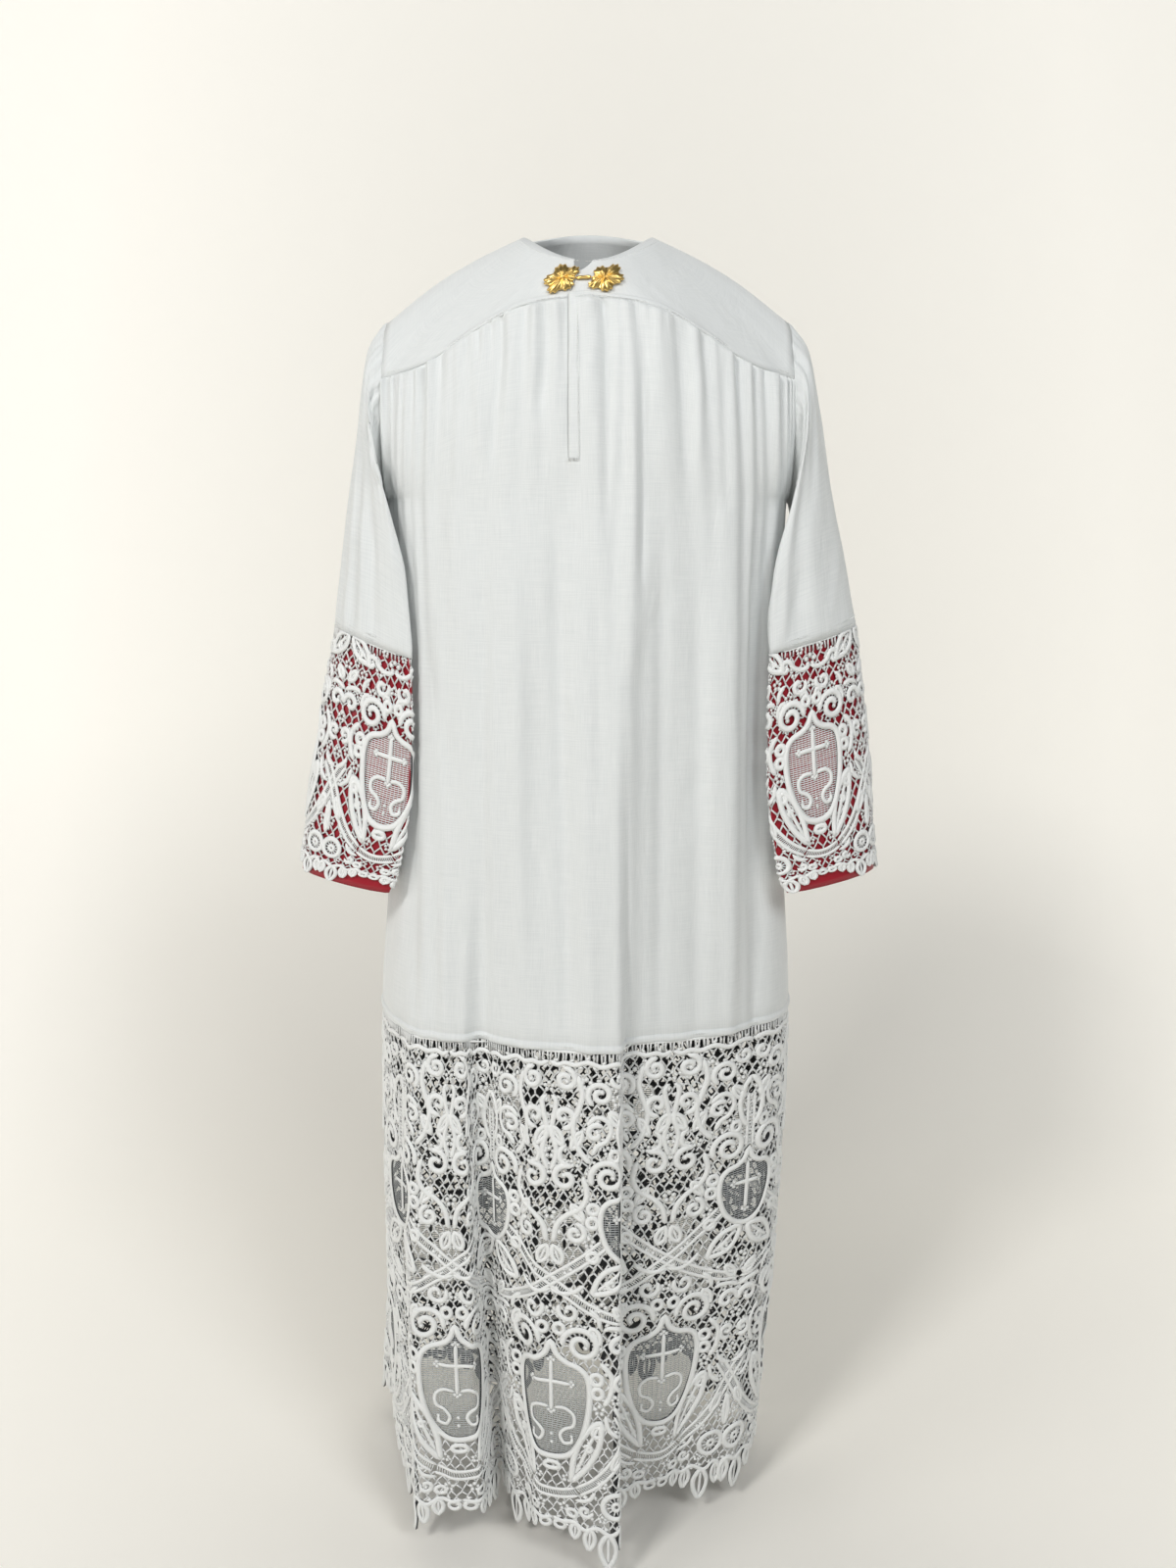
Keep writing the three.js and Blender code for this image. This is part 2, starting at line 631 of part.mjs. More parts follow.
// Half of a lace cuff: front or back of the sleeve
function cuffLaceGeometry(side, from) {
  const columns = CUFF_COLUMNS / 2;
  const edge = (j) => (j % 2 ? CUFF_SCALLOP : -CUFF_SCALLOP);
  const { grid, normals } = sleeveGrid(CUFF_ROWS, columns, from, from + 180, side, 0, edge);
  const cut = (r, c) => GAPS[CUFF_CHART[r][c]] || null;
  return clothWall(grid, normals, CUFF_LACE, { cut });
}

function cuffLiningGeometry(side) {
  const inset = CUFF_LACE + LINING_GAP;
  const { grid, normals } = sleeveGrid(LINING_ROWS, CUFF_COLUMNS, 0, 360, side, inset);
  return clothWall(grid, normals, LINING, { around: true });
}

// Angles that share half the skirt's girth into equal steps, so that the lace isn't stretched
function evenAngles(from, to, count, z) {
  const fine = 720;
  const angles = Array.from({ length: fine + 1 }, (_, i) => mix(from, to, i / fine));
  const lengths = [0];
  for (let i = 1; i <= fine; i++) {
    lengths.push(lengths[i - 1] + bodyPoint(angles[i], z).distanceTo(bodyPoint(angles[i - 1], z)));
  }
  return Array.from({ length: count + 1 }, (_, k) => {
    const want = lengths[fine] * k / count;
    let i = 1;
    while (i < fine && lengths[i] < want) i++;
    return mix(angles[i - 1], angles[i], (want - lengths[i - 1]) / (lengths[i] - lengths[i - 1]));
  });
}

// Half of the hem lace, with the chart's gaps in every repeat and a scalloped lower edge
function hemLaceGeometry(facing) {
  const perRepeat = LACE_CHART[0].length;
  const columns = perRepeat * REPEATS_PER_HALF;
  const from = facing > 0 ? -90 : 90;
  const angles = evenAngles(from, from + 180, columns, mix(LACE_SEAM, HEM, 0.7));
  const grid = Array.from({ length: LACE_ROWS + 1 }, (_, r) => angles.map((angle, j) => {
    const scallop = r === LACE_ROWS ? HEM_SCALLOP[j % perRepeat] : 0;
    const z = mix(LACE_SEAM - SEAM_GAP, HEM, r / LACE_ROWS) + scallop;
    const point = bodyPoint(angle, z);
    if (j === 0 || j === columns) point.y -= facing * SEAM_GAP / 2;
    return point;
  }));
  const normals = gridNormals(grid, axisPoint, false);
  normals.forEach((row) => {
    row[0] = vector(-facing, 0, 0);
    row[columns] = vector(facing, 0, 0);
  });
  const cut = (r, c) => GAPS[LACE_CHART[r][c % perRepeat]] || null;
  return clothWall(grid, normals, LACE, { cut });
}

// A point of the front yoke by its distance from the slit and its share of the way down
function claspPlace(across, share) {
  let low = -0.5;
  let high = 0.5;
  const slit = yokePoint(1, SLIT.angle / 90 * YOKE_SEAM_SHARE, share).x;
  for (let k = 0; k < 30; k++) {
    const middle = (low + high) / 2;
    if (yokePoint(1, middle, share).x < slit + across) low = middle;
    else high = middle;
  }
  return low;
}

// A small cast plate that follows the yoke: outline gives its reach and half height by turn
function plateGeometry(centreAcross, outline, points) {
  const solid = new Solid();
  const yokeTall = yokePoint(1, 0, 0).distanceTo(yokePoint(1, 0, 1));
  const place = (across, up, lift) => {
    const share = CLASP.share - up / yokeTall;
    const along = claspPlace(centreAcross + across, share);
    const point = yokePoint(1, along, share);
    const step = 0.01;
    const sideways = yokePoint(1, along + step, share).sub(yokePoint(1, along - step, share));
    const down = yokePoint(1, along, share + step).sub(yokePoint(1, along, share - step));
    const normal = sideways.cross(down).normalize();
    if (normal.y > 0) normal.negate();
    return point.addScaledVector(normal, lift);
  };
  const layers = [CLASP.lift, CLASP.lift + CLASP.thick].map((lift, layer) => {
    const centre = solid.point(place(0, 0, lift + (layer ? CLASP.thick : 0)));
    const rim = Array.from({ length: points }, (_, k) => {
      const { across, up } = outline(2 * Math.PI * k / points);
      return solid.point(place(across, up, lift));
    });
    return { centre, rim };
  });
  const [under, over] = layers;
  for (let k = 0; k < points; k++) {
    const after = (k + 1) % points;
    solid.triangles.push([over.centre, over.rim[k], over.rim[after]]);
    solid.triangles.push([under.centre, under.rim[after], under.rim[k]]);
    solid.quad(over.rim[k], under.rim[k], under.rim[after], over.rim[after]);
  }
  return solid.geometry();
}

// A lobed leaf, pointed away from the slit
function claspLeaf(side) {
  return (turn) => {
    const lobes = 0.86 + 0.14 * Math.cos(5 * turn);
    const taper = 1 - 0.18 * Math.cos(turn);
    return {
      across: side * CLASP.reach / 2 * Math.cos(turn) * (0.93 + 0.07 * Math.cos(5 * turn)),
      up: CLASP.half * Math.sin(turn) * lobes * taper,
    };
  };
}

function claspGeometry(side) {
  const centre = CLASP.shift + side * (CLASP.from + CLASP.reach / 2);
  return plateGeometry(centre, claspLeaf(side), CLASP.points);
}

function hookGeometry() {
  const outline = (turn) => ({ across: HOOK.reach * Math.cos(turn), up: HOOK.half * Math.sin(turn) });
  return plateGeometry(CLASP.shift, outline, HOOK.points);
}

const LINEN = { color: 0xf1f2f0, roughness: 0.85, metalness: 0 };
const LACE_THREAD = { color: 0xf6f6f4, roughness: 0.9, metalness: 0 };
const RED_SATIN = { color: 0xa5122c, roughness: 0.5, metalness: 0 };
const GILT = { color: 0xd9a72b, roughness: 0.3, metalness: 1 };

const alb = new THREE.Group();

function add(name, geometry, finish) {
  const mesh = new THREE.Mesh(geometry, new THREE.MeshStandardMaterial(finish));
  mesh.name = name;
  alb.add(mesh);
}

add('front_panel', withSlit(panelGeometry(1, FRONT_COLUMNS)), LINEN);
add('back_panel', panelGeometry(-1, BACK_COLUMNS), LINEN);
add('yoke_right', yokeGeometry(1, -1), LINEN);
add('yoke_left', yokeGeometry(1, 1), LINEN);
add('yoke_back', yokeGeometry(-1, 1), LINEN);
add('hem_lace_front', hemLaceGeometry(1), LACE_THREAD);
add('hem_lace_back', hemLaceGeometry(-1), LACE_THREAD);
for (const [hand, side] of [['right', -1], ['left', 1]]) {
  add(`sleeve_${hand}`, sleeveGeometry(side), LINEN);
  add(`cuff_lace_front_${hand}`, cuffLaceGeometry(side, 0), LACE_THREAD);
  add(`cuff_lace_back_${hand}`, cuffLaceGeometry(side, 180), LACE_THREAD);
  add(`cuff_lining_${hand}`, cuffLiningGeometry(side), RED_SATIN);
  add(`clasp_${hand}`, claspGeometry(side), GILT);
}
add('clasp_hook', hookGeometry(), GILT);

export default alb;
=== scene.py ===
import math

import bmesh
import bpy
import numpy as np
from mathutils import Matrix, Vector


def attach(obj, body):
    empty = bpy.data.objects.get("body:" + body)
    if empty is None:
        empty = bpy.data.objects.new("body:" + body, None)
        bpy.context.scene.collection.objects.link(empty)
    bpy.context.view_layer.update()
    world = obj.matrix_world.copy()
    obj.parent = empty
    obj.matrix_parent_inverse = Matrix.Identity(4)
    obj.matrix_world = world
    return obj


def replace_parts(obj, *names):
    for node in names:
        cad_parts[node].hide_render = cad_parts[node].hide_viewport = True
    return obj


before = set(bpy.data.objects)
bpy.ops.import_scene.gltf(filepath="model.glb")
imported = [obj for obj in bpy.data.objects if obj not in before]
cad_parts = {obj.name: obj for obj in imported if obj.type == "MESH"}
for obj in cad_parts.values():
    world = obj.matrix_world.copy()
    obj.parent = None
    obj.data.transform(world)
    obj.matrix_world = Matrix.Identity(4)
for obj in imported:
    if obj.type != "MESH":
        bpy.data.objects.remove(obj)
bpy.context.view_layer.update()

# Camera: it stands 1.5 m in front of the robe and 0.3 m below the neck, tilted 12 degrees down,
# so that the whole robe is in the picture from the collar to the lace at the hem.
camera = bpy.data.objects.new("camera", bpy.data.cameras.new("camera"))
camera.data.sensor_width = 36
camera.data.lens = 29.25
camera.location = (0, -1.5, -0.30)
camera.rotation_euler = (math.radians(78), 0, 0)
bpy.context.collection.objects.link(camera)
bpy.context.scene.camera = camera


# Front and back panels: plain-woven linen, cut as wide rectangles, drawn up in small gathers
# under the yoke and left to fall in long folds to the lace. The front has the neck slit, with
# a narrow faced edge and a bar tack at its foot.
UNDERARM = -285
LACE_SEAM = -892
HEM = -1530
BODY = [
    (-1560, 247, 168, 166),
    (-1200, 256, 164, 158),
    (-892, 253, 158, 147),
    (-720, 239, 154, 140),
    (-560, 229, 150, 134),
    (-420, 226, 146, 128),
    (-285, 228, 138, 122),
]
FOLDS = np.array([
    (-90, 10, 0, -700), (-74, 0, 0, -640), (-60, 4, 0, -560), (-49, 32, 0, -420),
    (-40, 12, 0, -420), (-34, -4, 14, -480), (-27, -86, -22, -640), (-19, -34, 0, -600),
    (-11, 2, 0, -480), (5.5, 24, 6, -300), (9.5, -48, -12, -300), (21, -54, 0, -460),
    (34, -64, 0, -520), (48, -54, 0, -480), (62, -42, 0, -560), (77, -32, 0, -640),
    (90, -24, 0, -700), (105, -26, 0, -640), (120, 16, 0, -540), (136, -20, 0, -600),
    (152, 22, 0, -460), (168, -18, 0, -600), (184, 20, 0, -440), (200, -18, 0, -600),
    (213, 10, 0, -560), (226, 38, 0, -560), (240, 104, 0, -560), (253, 34, 0, -640),
])
FRONT_YOKE_SEAM = [(0, 118, 81), (70, 114, 91), (120, 102, 114), (172, 82, 143)]
BACK_YOKE_SEAM = [(0, -122, 116), (70, -118, 119), (120, -107, 127), (172, -84, 143)]
YOKE_MEETS_ARMHOLE = 71
YOKE_SEAM_SHARE = 0.7
SLIT_ANGLE = -5.2
SLIT_FOOT = -245
PLACKET_WIDE = 8
LINEN_THICK = 1.2
BAND = np.array([(9.6, -0.2), (8.4, -0.5), (7.6, 1.0), (5, 1.8), (2.6, 1.8), (0.4, 1.0), (-1, -0.3)])
MM = 0.001
WAVE_HIGH = 7.5
WAVE_COUNT = 11
BODY_ROUND = 0.9
CHEST_FULL = 7
ARMHOLE_MIDDLE = (225, -188.5)
ARMHOLE_HALF = (3, 62, 96.5)
SLIT_BEND = 1.3
SLIT_LAP = (2.2, 1.7, 0)
SEAM_SHARES = [-0.028, -0.012, 0, 0.012, 0.026]
SEAM_SINK = 1.3
# The gathers and then the pleats below them: height, crests, seed, and how far down they fade
GATHER_HIGH, GATHER_COUNT, GATHER_FADE = 2.0, 38, 26
PLEATS = [(3.9, 21, 3, 120), (3.3, 12, 5, 430)]


def unit(v):
    return v / np.maximum(np.linalg.norm(v, axis=-1, keepdims=True), 1e-9)


def blend(a, b, t):
    return a + (b - a) * t


def run_length(points):
    """How far along a line each of its points is"""
    return np.concatenate([[0], np.cumsum(np.linalg.norm(np.diff(points, axis=0), axis=1))])


def along_line(points, run, at):
    """The points at some distances along a line"""
    return np.stack([np.interp(at, run, column) for column in points.T], axis=1)


def from_table(rows, at):
    """Smooth columns between the rows of a table whose first column rises"""
    rows = np.array(rows, float)
    key, columns = rows[:, 0], rows[:, 1:]
    at = np.asarray(at, float)
    low = np.clip(np.searchsorted(key, at, side="right") - 1, 0, len(key) - 2)
    high = low + 1
    before, after = np.maximum(low - 1, 0), np.minimum(low + 2, len(key) - 1)
    span = (key[high] - key[low])[..., None]
    t = np.clip((at - key[low])[..., None] / span, 0, 1)
    start = (columns[high] - columns[before]) / (key[high] - key[before])[..., None] * span
    end = (columns[after] - columns[low]) / (key[after] - key[low])[..., None] * span
    return ((2 * t ** 3 - 3 * t ** 2 + 1) * columns[low] + (t ** 3 - 2 * t ** 2 + t) * start
            + (3 * t ** 2 - 2 * t ** 3) * columns[high] + (t ** 3 - t ** 2) * end)


def fold_at(angle, z):
    """How far the skirt's folds stand out and lean along"""
    turn = (angle + 90) % 360 - 90
    low = np.searchsorted(FOLDS[:, 0], turn, side="right") - 1
    high = (low + 1) % len(FOLDS)
    end = np.where(high == 0, 270, FOLDS[high, 0])
    t = (turn - FOLDS[low, 0]) / (end - FOLDS[low, 0])
    ease = (t * t * (3 - 2 * t))[..., None]
    grown = [np.clip((FOLDS[i, 3] - z) / (FOLDS[i, 3] - HEM), 0, 1.1)[..., None] ** 1.35
             for i in (low, high)]
    return blend(FOLDS[low, 1:3] * grown[0], FOLDS[high, 1:3] * grown[1], ease)


def wave_at(angle, z):
    """The soft upright waves that the gathers leave"""
    share = np.minimum(np.clip((-150 - z) / 410, 0, 1), np.clip((z + 1000) / 440, 0, 1))
    uneven = 0.65 + 0.35 * np.sin(np.radians(2.3 * angle) + 0.7)
    return WAVE_HIGH * share * uneven * np.sin(np.radians(WAVE_COUNT * angle) + 0.4)


def body_point(angle, z):
    """The outer face of the skirt; angle 0 is centre front, 90 the left side"""
    angle, z = np.broadcast_arrays(np.asarray(angle, float), np.asarray(z, float))
    s, c = np.sin(np.radians(angle)), np.cos(np.radians(angle))
    width, front, back = np.moveaxis(from_table(BODY, z), -1, 0)
    depth = np.where(c > 0, front, back)
    across = width * np.sign(s) * np.abs(s) ** BODY_ROUND
    forward = depth * np.sign(c) * np.abs(c) ** BODY_ROUND
    point = np.stack([across, -forward, z], -1)
    out = unit(np.stack([s * depth, -c * width, 0 * s], -1))
    along = np.stack([-out[..., 1], out[..., 0], 0 * s], -1)
    fold = fold_at(angle, z)
    return point + out * (fold[..., :1] + wave_at(angle, z)[..., None]) + along * fold[..., 1:]


def armhole_point(turn):
    """The left armhole; 0 is the shoulder tip, 90 the foremost point, 180 the underarm"""
    s, c = np.sin(np.radians(turn)), np.cos(np.radians(turn))
    lean, deep, tall = ARMHOLE_HALF
    return np.stack([ARMHOLE_MIDDLE[0] - lean * c, -deep * s, ARMHOLE_MIDDLE[1] + tall * c], -1)


def to_side(points, side):
    """Mirrors left-side points where side is below 0"""
    return points * np.stack([np.where(side < 0, -1, 1), 1 + 0 * side, 1 + 0 * side], -1)


def yoke_seam(facing, angle):
    """The seam that joins yoke and panel; angle runs from -90 to 90 across"""
    end = armhole_point(facing * YOKE_MEETS_ARMHOLE)
    rows = (FRONT_YOKE_SEAM if facing > 0 else BACK_YOKE_SEAM) + [(end[0], -end[1], -end[2])]
    across = end[0] * np.abs(np.sin(np.radians(angle)))
    forward, down = np.moveaxis(from_table(rows, across), -1, 0)
    return to_side(np.stack([across, -forward, -down], -1), np.sign(angle))


def chest_point(facing, angle, share):
    """The panel from the yoke seam, share 0, to the underarm, share 1"""
    angle, share = np.broadcast_arrays(np.asarray(angle, float), np.asarray(share, float))
    side = np.sign(angle)
    s = share[..., None]
    low = body_point(angle if facing > 0 else 180 - angle, UNDERARM)
    arm = to_side(armhole_point(facing * blend(YOKE_MEETS_ARMHOLE, 180, share)), side)
    arm_top = to_side(armhole_point(facing * YOKE_MEETS_ARMHOLE + 0 * share), side)
    arm_low = to_side(armhole_point(180 + 0 * share), side)
    end = body_point(side * 90 if facing > 0 else 180 - side * 90, UNDERARM)
    pull = (np.abs(np.sin(np.radians(angle))) ** 5)[..., None]
    point = blend(yoke_seam(facing, angle), low, s)
    point = point + (arm - blend(arm_top, arm_low, s) + (arm_low - end) * s) * pull
    point[..., 1] -= facing * CHEST_FULL * np.sin(np.pi * share) * (1 - pull[..., 0])
    return point


def grid_normals(grid, around=False, inside=None):
    """Outward normals of a grid of points"""
    ends = np.concatenate([grid[:, -1:], grid, grid[:, :1]], axis=1)
    across = ends[:, 2:] - ends[:, :-2] if around else np.gradient(grid, axis=1)
    normals = unit(np.cross(across, np.gradient(grid, axis=0)))
    centre = grid.mean(axis=1, keepdims=True) if inside is None else inside
    return normals if np.sum(normals * (grid - centre)) > 0 else -normals


def ripple(at, count, seed):
    """An uneven wave: count crests while at goes from 0 to 1"""
    wander = 0.6 * np.sin(9.1 * at + seed) + 0.45 * np.sin(23.7 * at + 2.1 * seed)
    strength = 0.72 + 0.28 * np.sin(31 * at + 1.7 * seed)
    return strength * np.sin(2 * np.pi * (count * at + wander))


def creases(across, down, lines):
    """Soft straight creases; a line is its two ends, half width and height"""
    total = np.zeros_like(across)
    for x0, y0, x1, y1, wide, high in lines:
        way = np.array([x1 - x0, y1 - y0])
        t = ((across - x0) * way[0] + (down - y0) * way[1]) / (way @ way)
        off = (across - x0) * way[1] - (down - y0) * way[0]
        near = np.exp(-(off / np.linalg.norm(way) / wide) ** 2)
        total += high * near * np.clip(4 * t, 0, 1) * np.clip(4 * (1 - t), 0, 1)
    return total


def cloth_mesh(name, grid, around=False, slit=None):
    """A sheet of quads over a grid in millimetres, with its UVs in metres"""
    rows, columns = grid.shape[:2]
    ids = np.arange(rows * columns).reshape(rows, columns)
    left, right = (ids, np.roll(ids, -1, axis=1)) if around else (ids[:, :-1], ids[:, 1:].copy())
    points = grid.reshape(-1, 3)
    if slit:
        column, foot = slit
        lap = np.clip((foot - np.arange(foot)) / 3, 0, 1)[:, None]
        copies = points[ids[:foot, column]] + lap * SLIT_LAP
        right[:foot, column - 1] = len(points) + np.arange(foot)
        points = np.concatenate([points, copies])
    quads = np.stack([left[:-1], left[1:], right[1:], right[:-1]], axis=-1).reshape(-1, 4)
    mesh = bpy.data.meshes.new(name)
    mesh.from_pydata((points * MM).tolist(), [], quads.tolist())
    middle_row = grid[rows // 2]
    u = run_length(np.concatenate([middle_row, middle_row[:1]])) * MM
    v = -run_length(grid[:, columns // 2]) * MM
    r, c = np.meshgrid(np.arange(rows - 1), np.arange(columns if around else columns - 1), indexing="ij")
    corner_u = np.stack([u[c], u[c], u[c + 1], u[c + 1]], axis=-1)
    corner_v = np.stack([v[r], v[r + 1], v[r + 1], v[r]], axis=-1)
    layer = mesh.uv_layers.new(name="cloth")
    layer.data.foreach_set("uv", np.stack([corner_u, corner_v], axis=-1).ravel())
    return mesh


def add_piece(name, mesh, material):
    """Puts a finished mesh in the scene as a smooth piece of the robe"""
    mesh.polygons.foreach_set("use_smooth", [True] * len(mesh.polygons))
    mesh.materials.append(material)
    piece = bpy.data.objects.new(name, mesh)
    bpy.context.collection.objects.link(piece)
    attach(piece, "root")
    return piece


def add_cloth(name, grid, normals, material, thick, around=False, slit=None):
    """Adds a sheet of cloth whose outer face is the grid"""
    mesh = cloth_mesh(name, grid, around, slit)
    middle = len(mesh.polygons) // 2
    row, column = divmod(middle, grid.shape[1] - (0 if around else 1))
    if np.array(mesh.polygons[middle].normal) @ normals[row, column] < 0:
        mesh.flip_normals()
    piece = add_piece(name, mesh, material)
    wall = piece.modifiers.new("wall", "SOLIDIFY")
    wall.thickness = thick * MM
    wall.offset = -1
    return piece


def new_material(name, color, roughness, **inputs):
    """A material with its plain numbers set on the shader"""
    material = bpy.data.materials.new(name)
    material.use_nodes = True
    shader = material.node_tree.nodes["Principled BSDF"]
    shader.inputs["Base Color"].default_value = (*color, 1)
    shader.inputs["Roughness"].default_value = roughness
    for key, value in inputs.items():
        shader.inputs[key.replace("_", " ")].default_value = value
    return material, material.node_tree, shader


def add_noise(tree, place, stretch, scale=1, detail=2, distortion=0):
    """Noise on a place that is stretched first"""
    mapping = tree.nodes.new("ShaderNodeMapping")
    mapping.inputs["Scale"].default_value = stretch
    noise = tree.nodes.new("ShaderNodeTexNoise")
    noise.inputs["Scale"].default_value = scale
    noise.inputs["Detail"].default_value = detail
    noise.inputs["Distortion"].default_value = distortion
    tree.links.new(place, mapping.inputs["Vector"])
    tree.links.new(mapping.outputs[0], noise.inputs["Vector"])
    return noise.outputs["Fac"]


def streaks(tree, across, down):
    """Threads of uneven thickness in the cloth's own UVs"""
    place = tree.nodes.new("ShaderNodeUVMap")
    place.uv_map = "cloth"
    return add_noise(tree, place.outputs[0], (across, down, 1))


def grain(tree, scale=1, detail=2, stretch=(1, 1, 1), distortion=0):
    """Uneven grain over a whole piece"""
    place = tree.nodes.new("ShaderNodeTexCoord")
    return add_noise(tree, place.outputs["Object"], stretch, scale, detail, distortion)


def add_bump(tree, height, strength, deep, shader=None, over=None):
    """A bump, over another one if that is given, and on the shader if that is given"""
    bump = tree.nodes.new("ShaderNodeBump")
    bump.inputs["Strength"].default_value = strength
    bump.inputs["Distance"].default_value = deep
    tree.links.new(height, bump.inputs["Height"])
    if over:
        tree.links.new(over, bump.inputs["Normal"])
    if shader:
        tree.links.new(bump.outputs["Normal"], shader.inputs["Normal"])
    return bump.outputs["Normal"]


linen, linen_tree, linen_shader = new_material(
    "linen", (0.74, 0.77, 0.77), 0.78, Sheen_Weight=0.25, Sheen_Roughness=0.5)
threads = linen_tree.nodes.new("ShaderNodeMath")
threads.operation = "ADD"
linen_tree.links.new(streaks(linen_tree, 30, 1100), threads.inputs[0])
linen_tree.links.new(streaks(linen_tree, 1100, 30), threads.inputs[1])
halve = linen_tree.nodes.new("ShaderNodeMath")
halve.operation = "MULTIPLY"
halve.inputs[1].default_value = 0.5
linen_tree.links.new(threads.outputs[0], halve.inputs[0])
linen_tint = linen_tree.nodes.new("ShaderNodeValToRGB")
for k, (position, color) in enumerate(((0.35, (0.72, 0.745, 0.745, 1)), (0.62, (0.79, 0.81, 0.805, 1)))):
    linen_tint.color_ramp.elements[k].position = position
    linen_tint.color_ramp.elements[k].color = color
linen_tree.links.new(halve.outputs[0], linen_tint.inputs["Fac"])
linen_tree.links.new(linen_tint.outputs["Color"], linen_shader.inputs["Base Color"])
weave = add_bump(linen_tree, halve.outputs[0], 0.22, 0.0005)
wrinkles = grain(linen_tree, detail=3, stretch=(34, 34, 11), distortion=0.6)
add_bump(linen_tree, wrinkles, 0.6, 0.003, linen_shader, over=weave)

FRONT_CREASES = [
    (20, -84, 18, -330, 4, -3.4), (37, -90, 38, -280, 4, -3.0), (58, -98, 57, -400, 4, -4.4),
    (6, -84, -14, -170, 6, -3.2), (-34, -100, -56, -210, 6, -2.6), (-88, -110, -104, -260, 6, -3.2),
    (96, -110, 104, -280, 6, -3.2), (-24, -150, -27, -240, 2.6, 1.5), (28, -110, 27, -300, 5, 2.2),
    (48, -110, 48, -420, 5, 2.4), (-60, -300, 10, -330, 6, -1.0), (20, -420, 66, -520, 7, -1.3),
    (-30, -470, 14, -560, 6, 1.1), (30, -560, 80, -610, 5, -1.0), (-120, -380, -70, -460, 7, -1.1),
    (110, -350, 60, -430, 7, -1.1), (-10, -640, 40, -690, 6, 1.0), (-80, -600, -40, -720, 8, -1.2),
    (130, -560, 90, -660, 8, -1.1), (0, -720, 12, -860, 8, 1.2), (-60, -760, -52, -880, 7, 1.2),
    (-180, -420, -150, -600, 9, -1.6), (170, -430, 150, -620, 9, -1.6), (62, -330, 48, -470, 8, 2.0),
    (-44, -250, -50, -420, 9, 1.7), (-140, -130, -150, -300, 6, -3.0), (140, -130, 148, -310, 6, -3.0),
    (-118, -130, -112, -250, 5, 2.2), (118, -130, 116, -260, 5, 2.2),
    (-36, -240, -20, -980, 9, -5.2), (40, -260, 47, -980, 10, 4.6), (-76, -280, -74, -980, 11, 4.2),
    (78, -260, 82, -960, 8, -4.8), (-112, -260, -124, -980, 10, -5.0), (116, -280, 128, -980, 11, -4.8),
    (-196, -300, -204, -980, 9, -5.2), (186, -320, 200, -980, 9, -5.2), (-158, -280, -164, -960, 10, 4.0),
    (160, -300, 166, -960, 10, 4.0), (8, -330, 14, -640, 7, -2.6), (-4, -520, 4, -960, 8, 2.6),
]
BACK_CREASES = [
    (-70, -300, 30, -330, 8, -1.0), (40, -420, 100, -480, 8, -0.9), (-100, -440, -50, -520, 8, 0.8),
    (0, -560, 40, -640, 7, -0.8), (-60, -640, -10, -700, 8, 0.8), (90, -620, 60, -720, 8, -0.8),
    (-140, -360, -110, -500, 9, -1.2), (150, -380, 120, -520, 9, -1.2), (10, -160, 20, -320, 8, -1.6),
]


def add_panel(name, facing, columns, lines, slit=False):
    """A gathered panel from under the yoke to the lace"""
    angles = np.linspace(-90, 90, columns + 1)
    shares = np.concatenate([SEAM_SHARES, np.linspace(0.05, 1, 24)])
    heights = np.concatenate([np.linspace(UNDERARM, LACE_SEAM + 10, 50)[1:], LACE_SEAM + BAND[:, 0]])
    slit_column = int(np.argmin(np.abs(angles - SLIT_ANGLE)))
    angles[slit_column] = SLIT_ANGLE
    bend = SLIT_BEND * np.exp(-((angles - SLIT_ANGLE) / 14) ** 2) if slit else 0 * angles
    chest = np.stack([chest_point(facing, angles + bend * max(s, 0), s) for s in shares])
    ease = np.clip((heights + 600) / 315, 0, 1)
    turns = [angles + bend * e for e in ease]
    body = np.stack([body_point(a if facing > 0 else 180 - a, z) for a, z in zip(turns, heights)])
    grid = np.concatenate([chest, body])
    normals = grid_normals(grid)
    seam = SEAM_SHARES.index(0)
    below = np.linalg.norm(grid - chest[seam], axis=-1) * np.sign(np.arange(len(grid)) - seam)[:, None]
    q = angles[None, :] / 180 + 0.5 + 0 * below
    fall = np.maximum(below, 0)
    edge = np.clip((90 - np.abs(angles)) / 9, 0, 1)[None, :]
    pinch = 1.5 - 3.4 * np.exp(-2.4 * (1 + ripple(q, GATHER_COUNT, 1 + facing)))
    height = GATHER_HIGH * pinch * np.exp(-fall / GATHER_FADE)
    for high, count, seed, fade in PLEATS:
        height += high * ripple(q, count, seed + facing) * np.exp(-fall / fade)
    height *= np.clip(fall / 4.5, 0, 1) * edge
    height += creases(grid[..., 0], grid[..., 2], lines) * edge
    height += np.where(below < 3, -SEAM_SINK * (1 - np.clip(below / 3, 0, 1)), 0)
    height[-len(BAND):] += BAND[:, 1:]
    foot = int(np.sum(grid[:, slit_column, 2] > SLIT_FOOT))
    if slit:
        placket = (grid[..., 0] - grid[:, slit_column, :1] + 0.1) / PLACKET_WIDE
        height[:foot + 1] *= (1 - 0.85 * np.exp(-(placket - 0.5) ** 2 * 1.6))[:foot + 1]
        height[:foot + 1] += 0.7 * np.clip(6 * np.minimum(placket + 0.17, 1 - placket), 0, 1)[:foot + 1]
    grid = grid + normals * height[..., None]
    cut = (slit_column, foot) if slit else None
    return add_cloth(name, grid, normals, linen, LINEN_THICK, slit=cut)


front = add_panel("linen_front", 1, 250, FRONT_CREASES, slit=True)
back = add_panel("linen_back", -1, 170, BACK_CREASES)
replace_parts(front, "front_panel")
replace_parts(back, "back_panel")


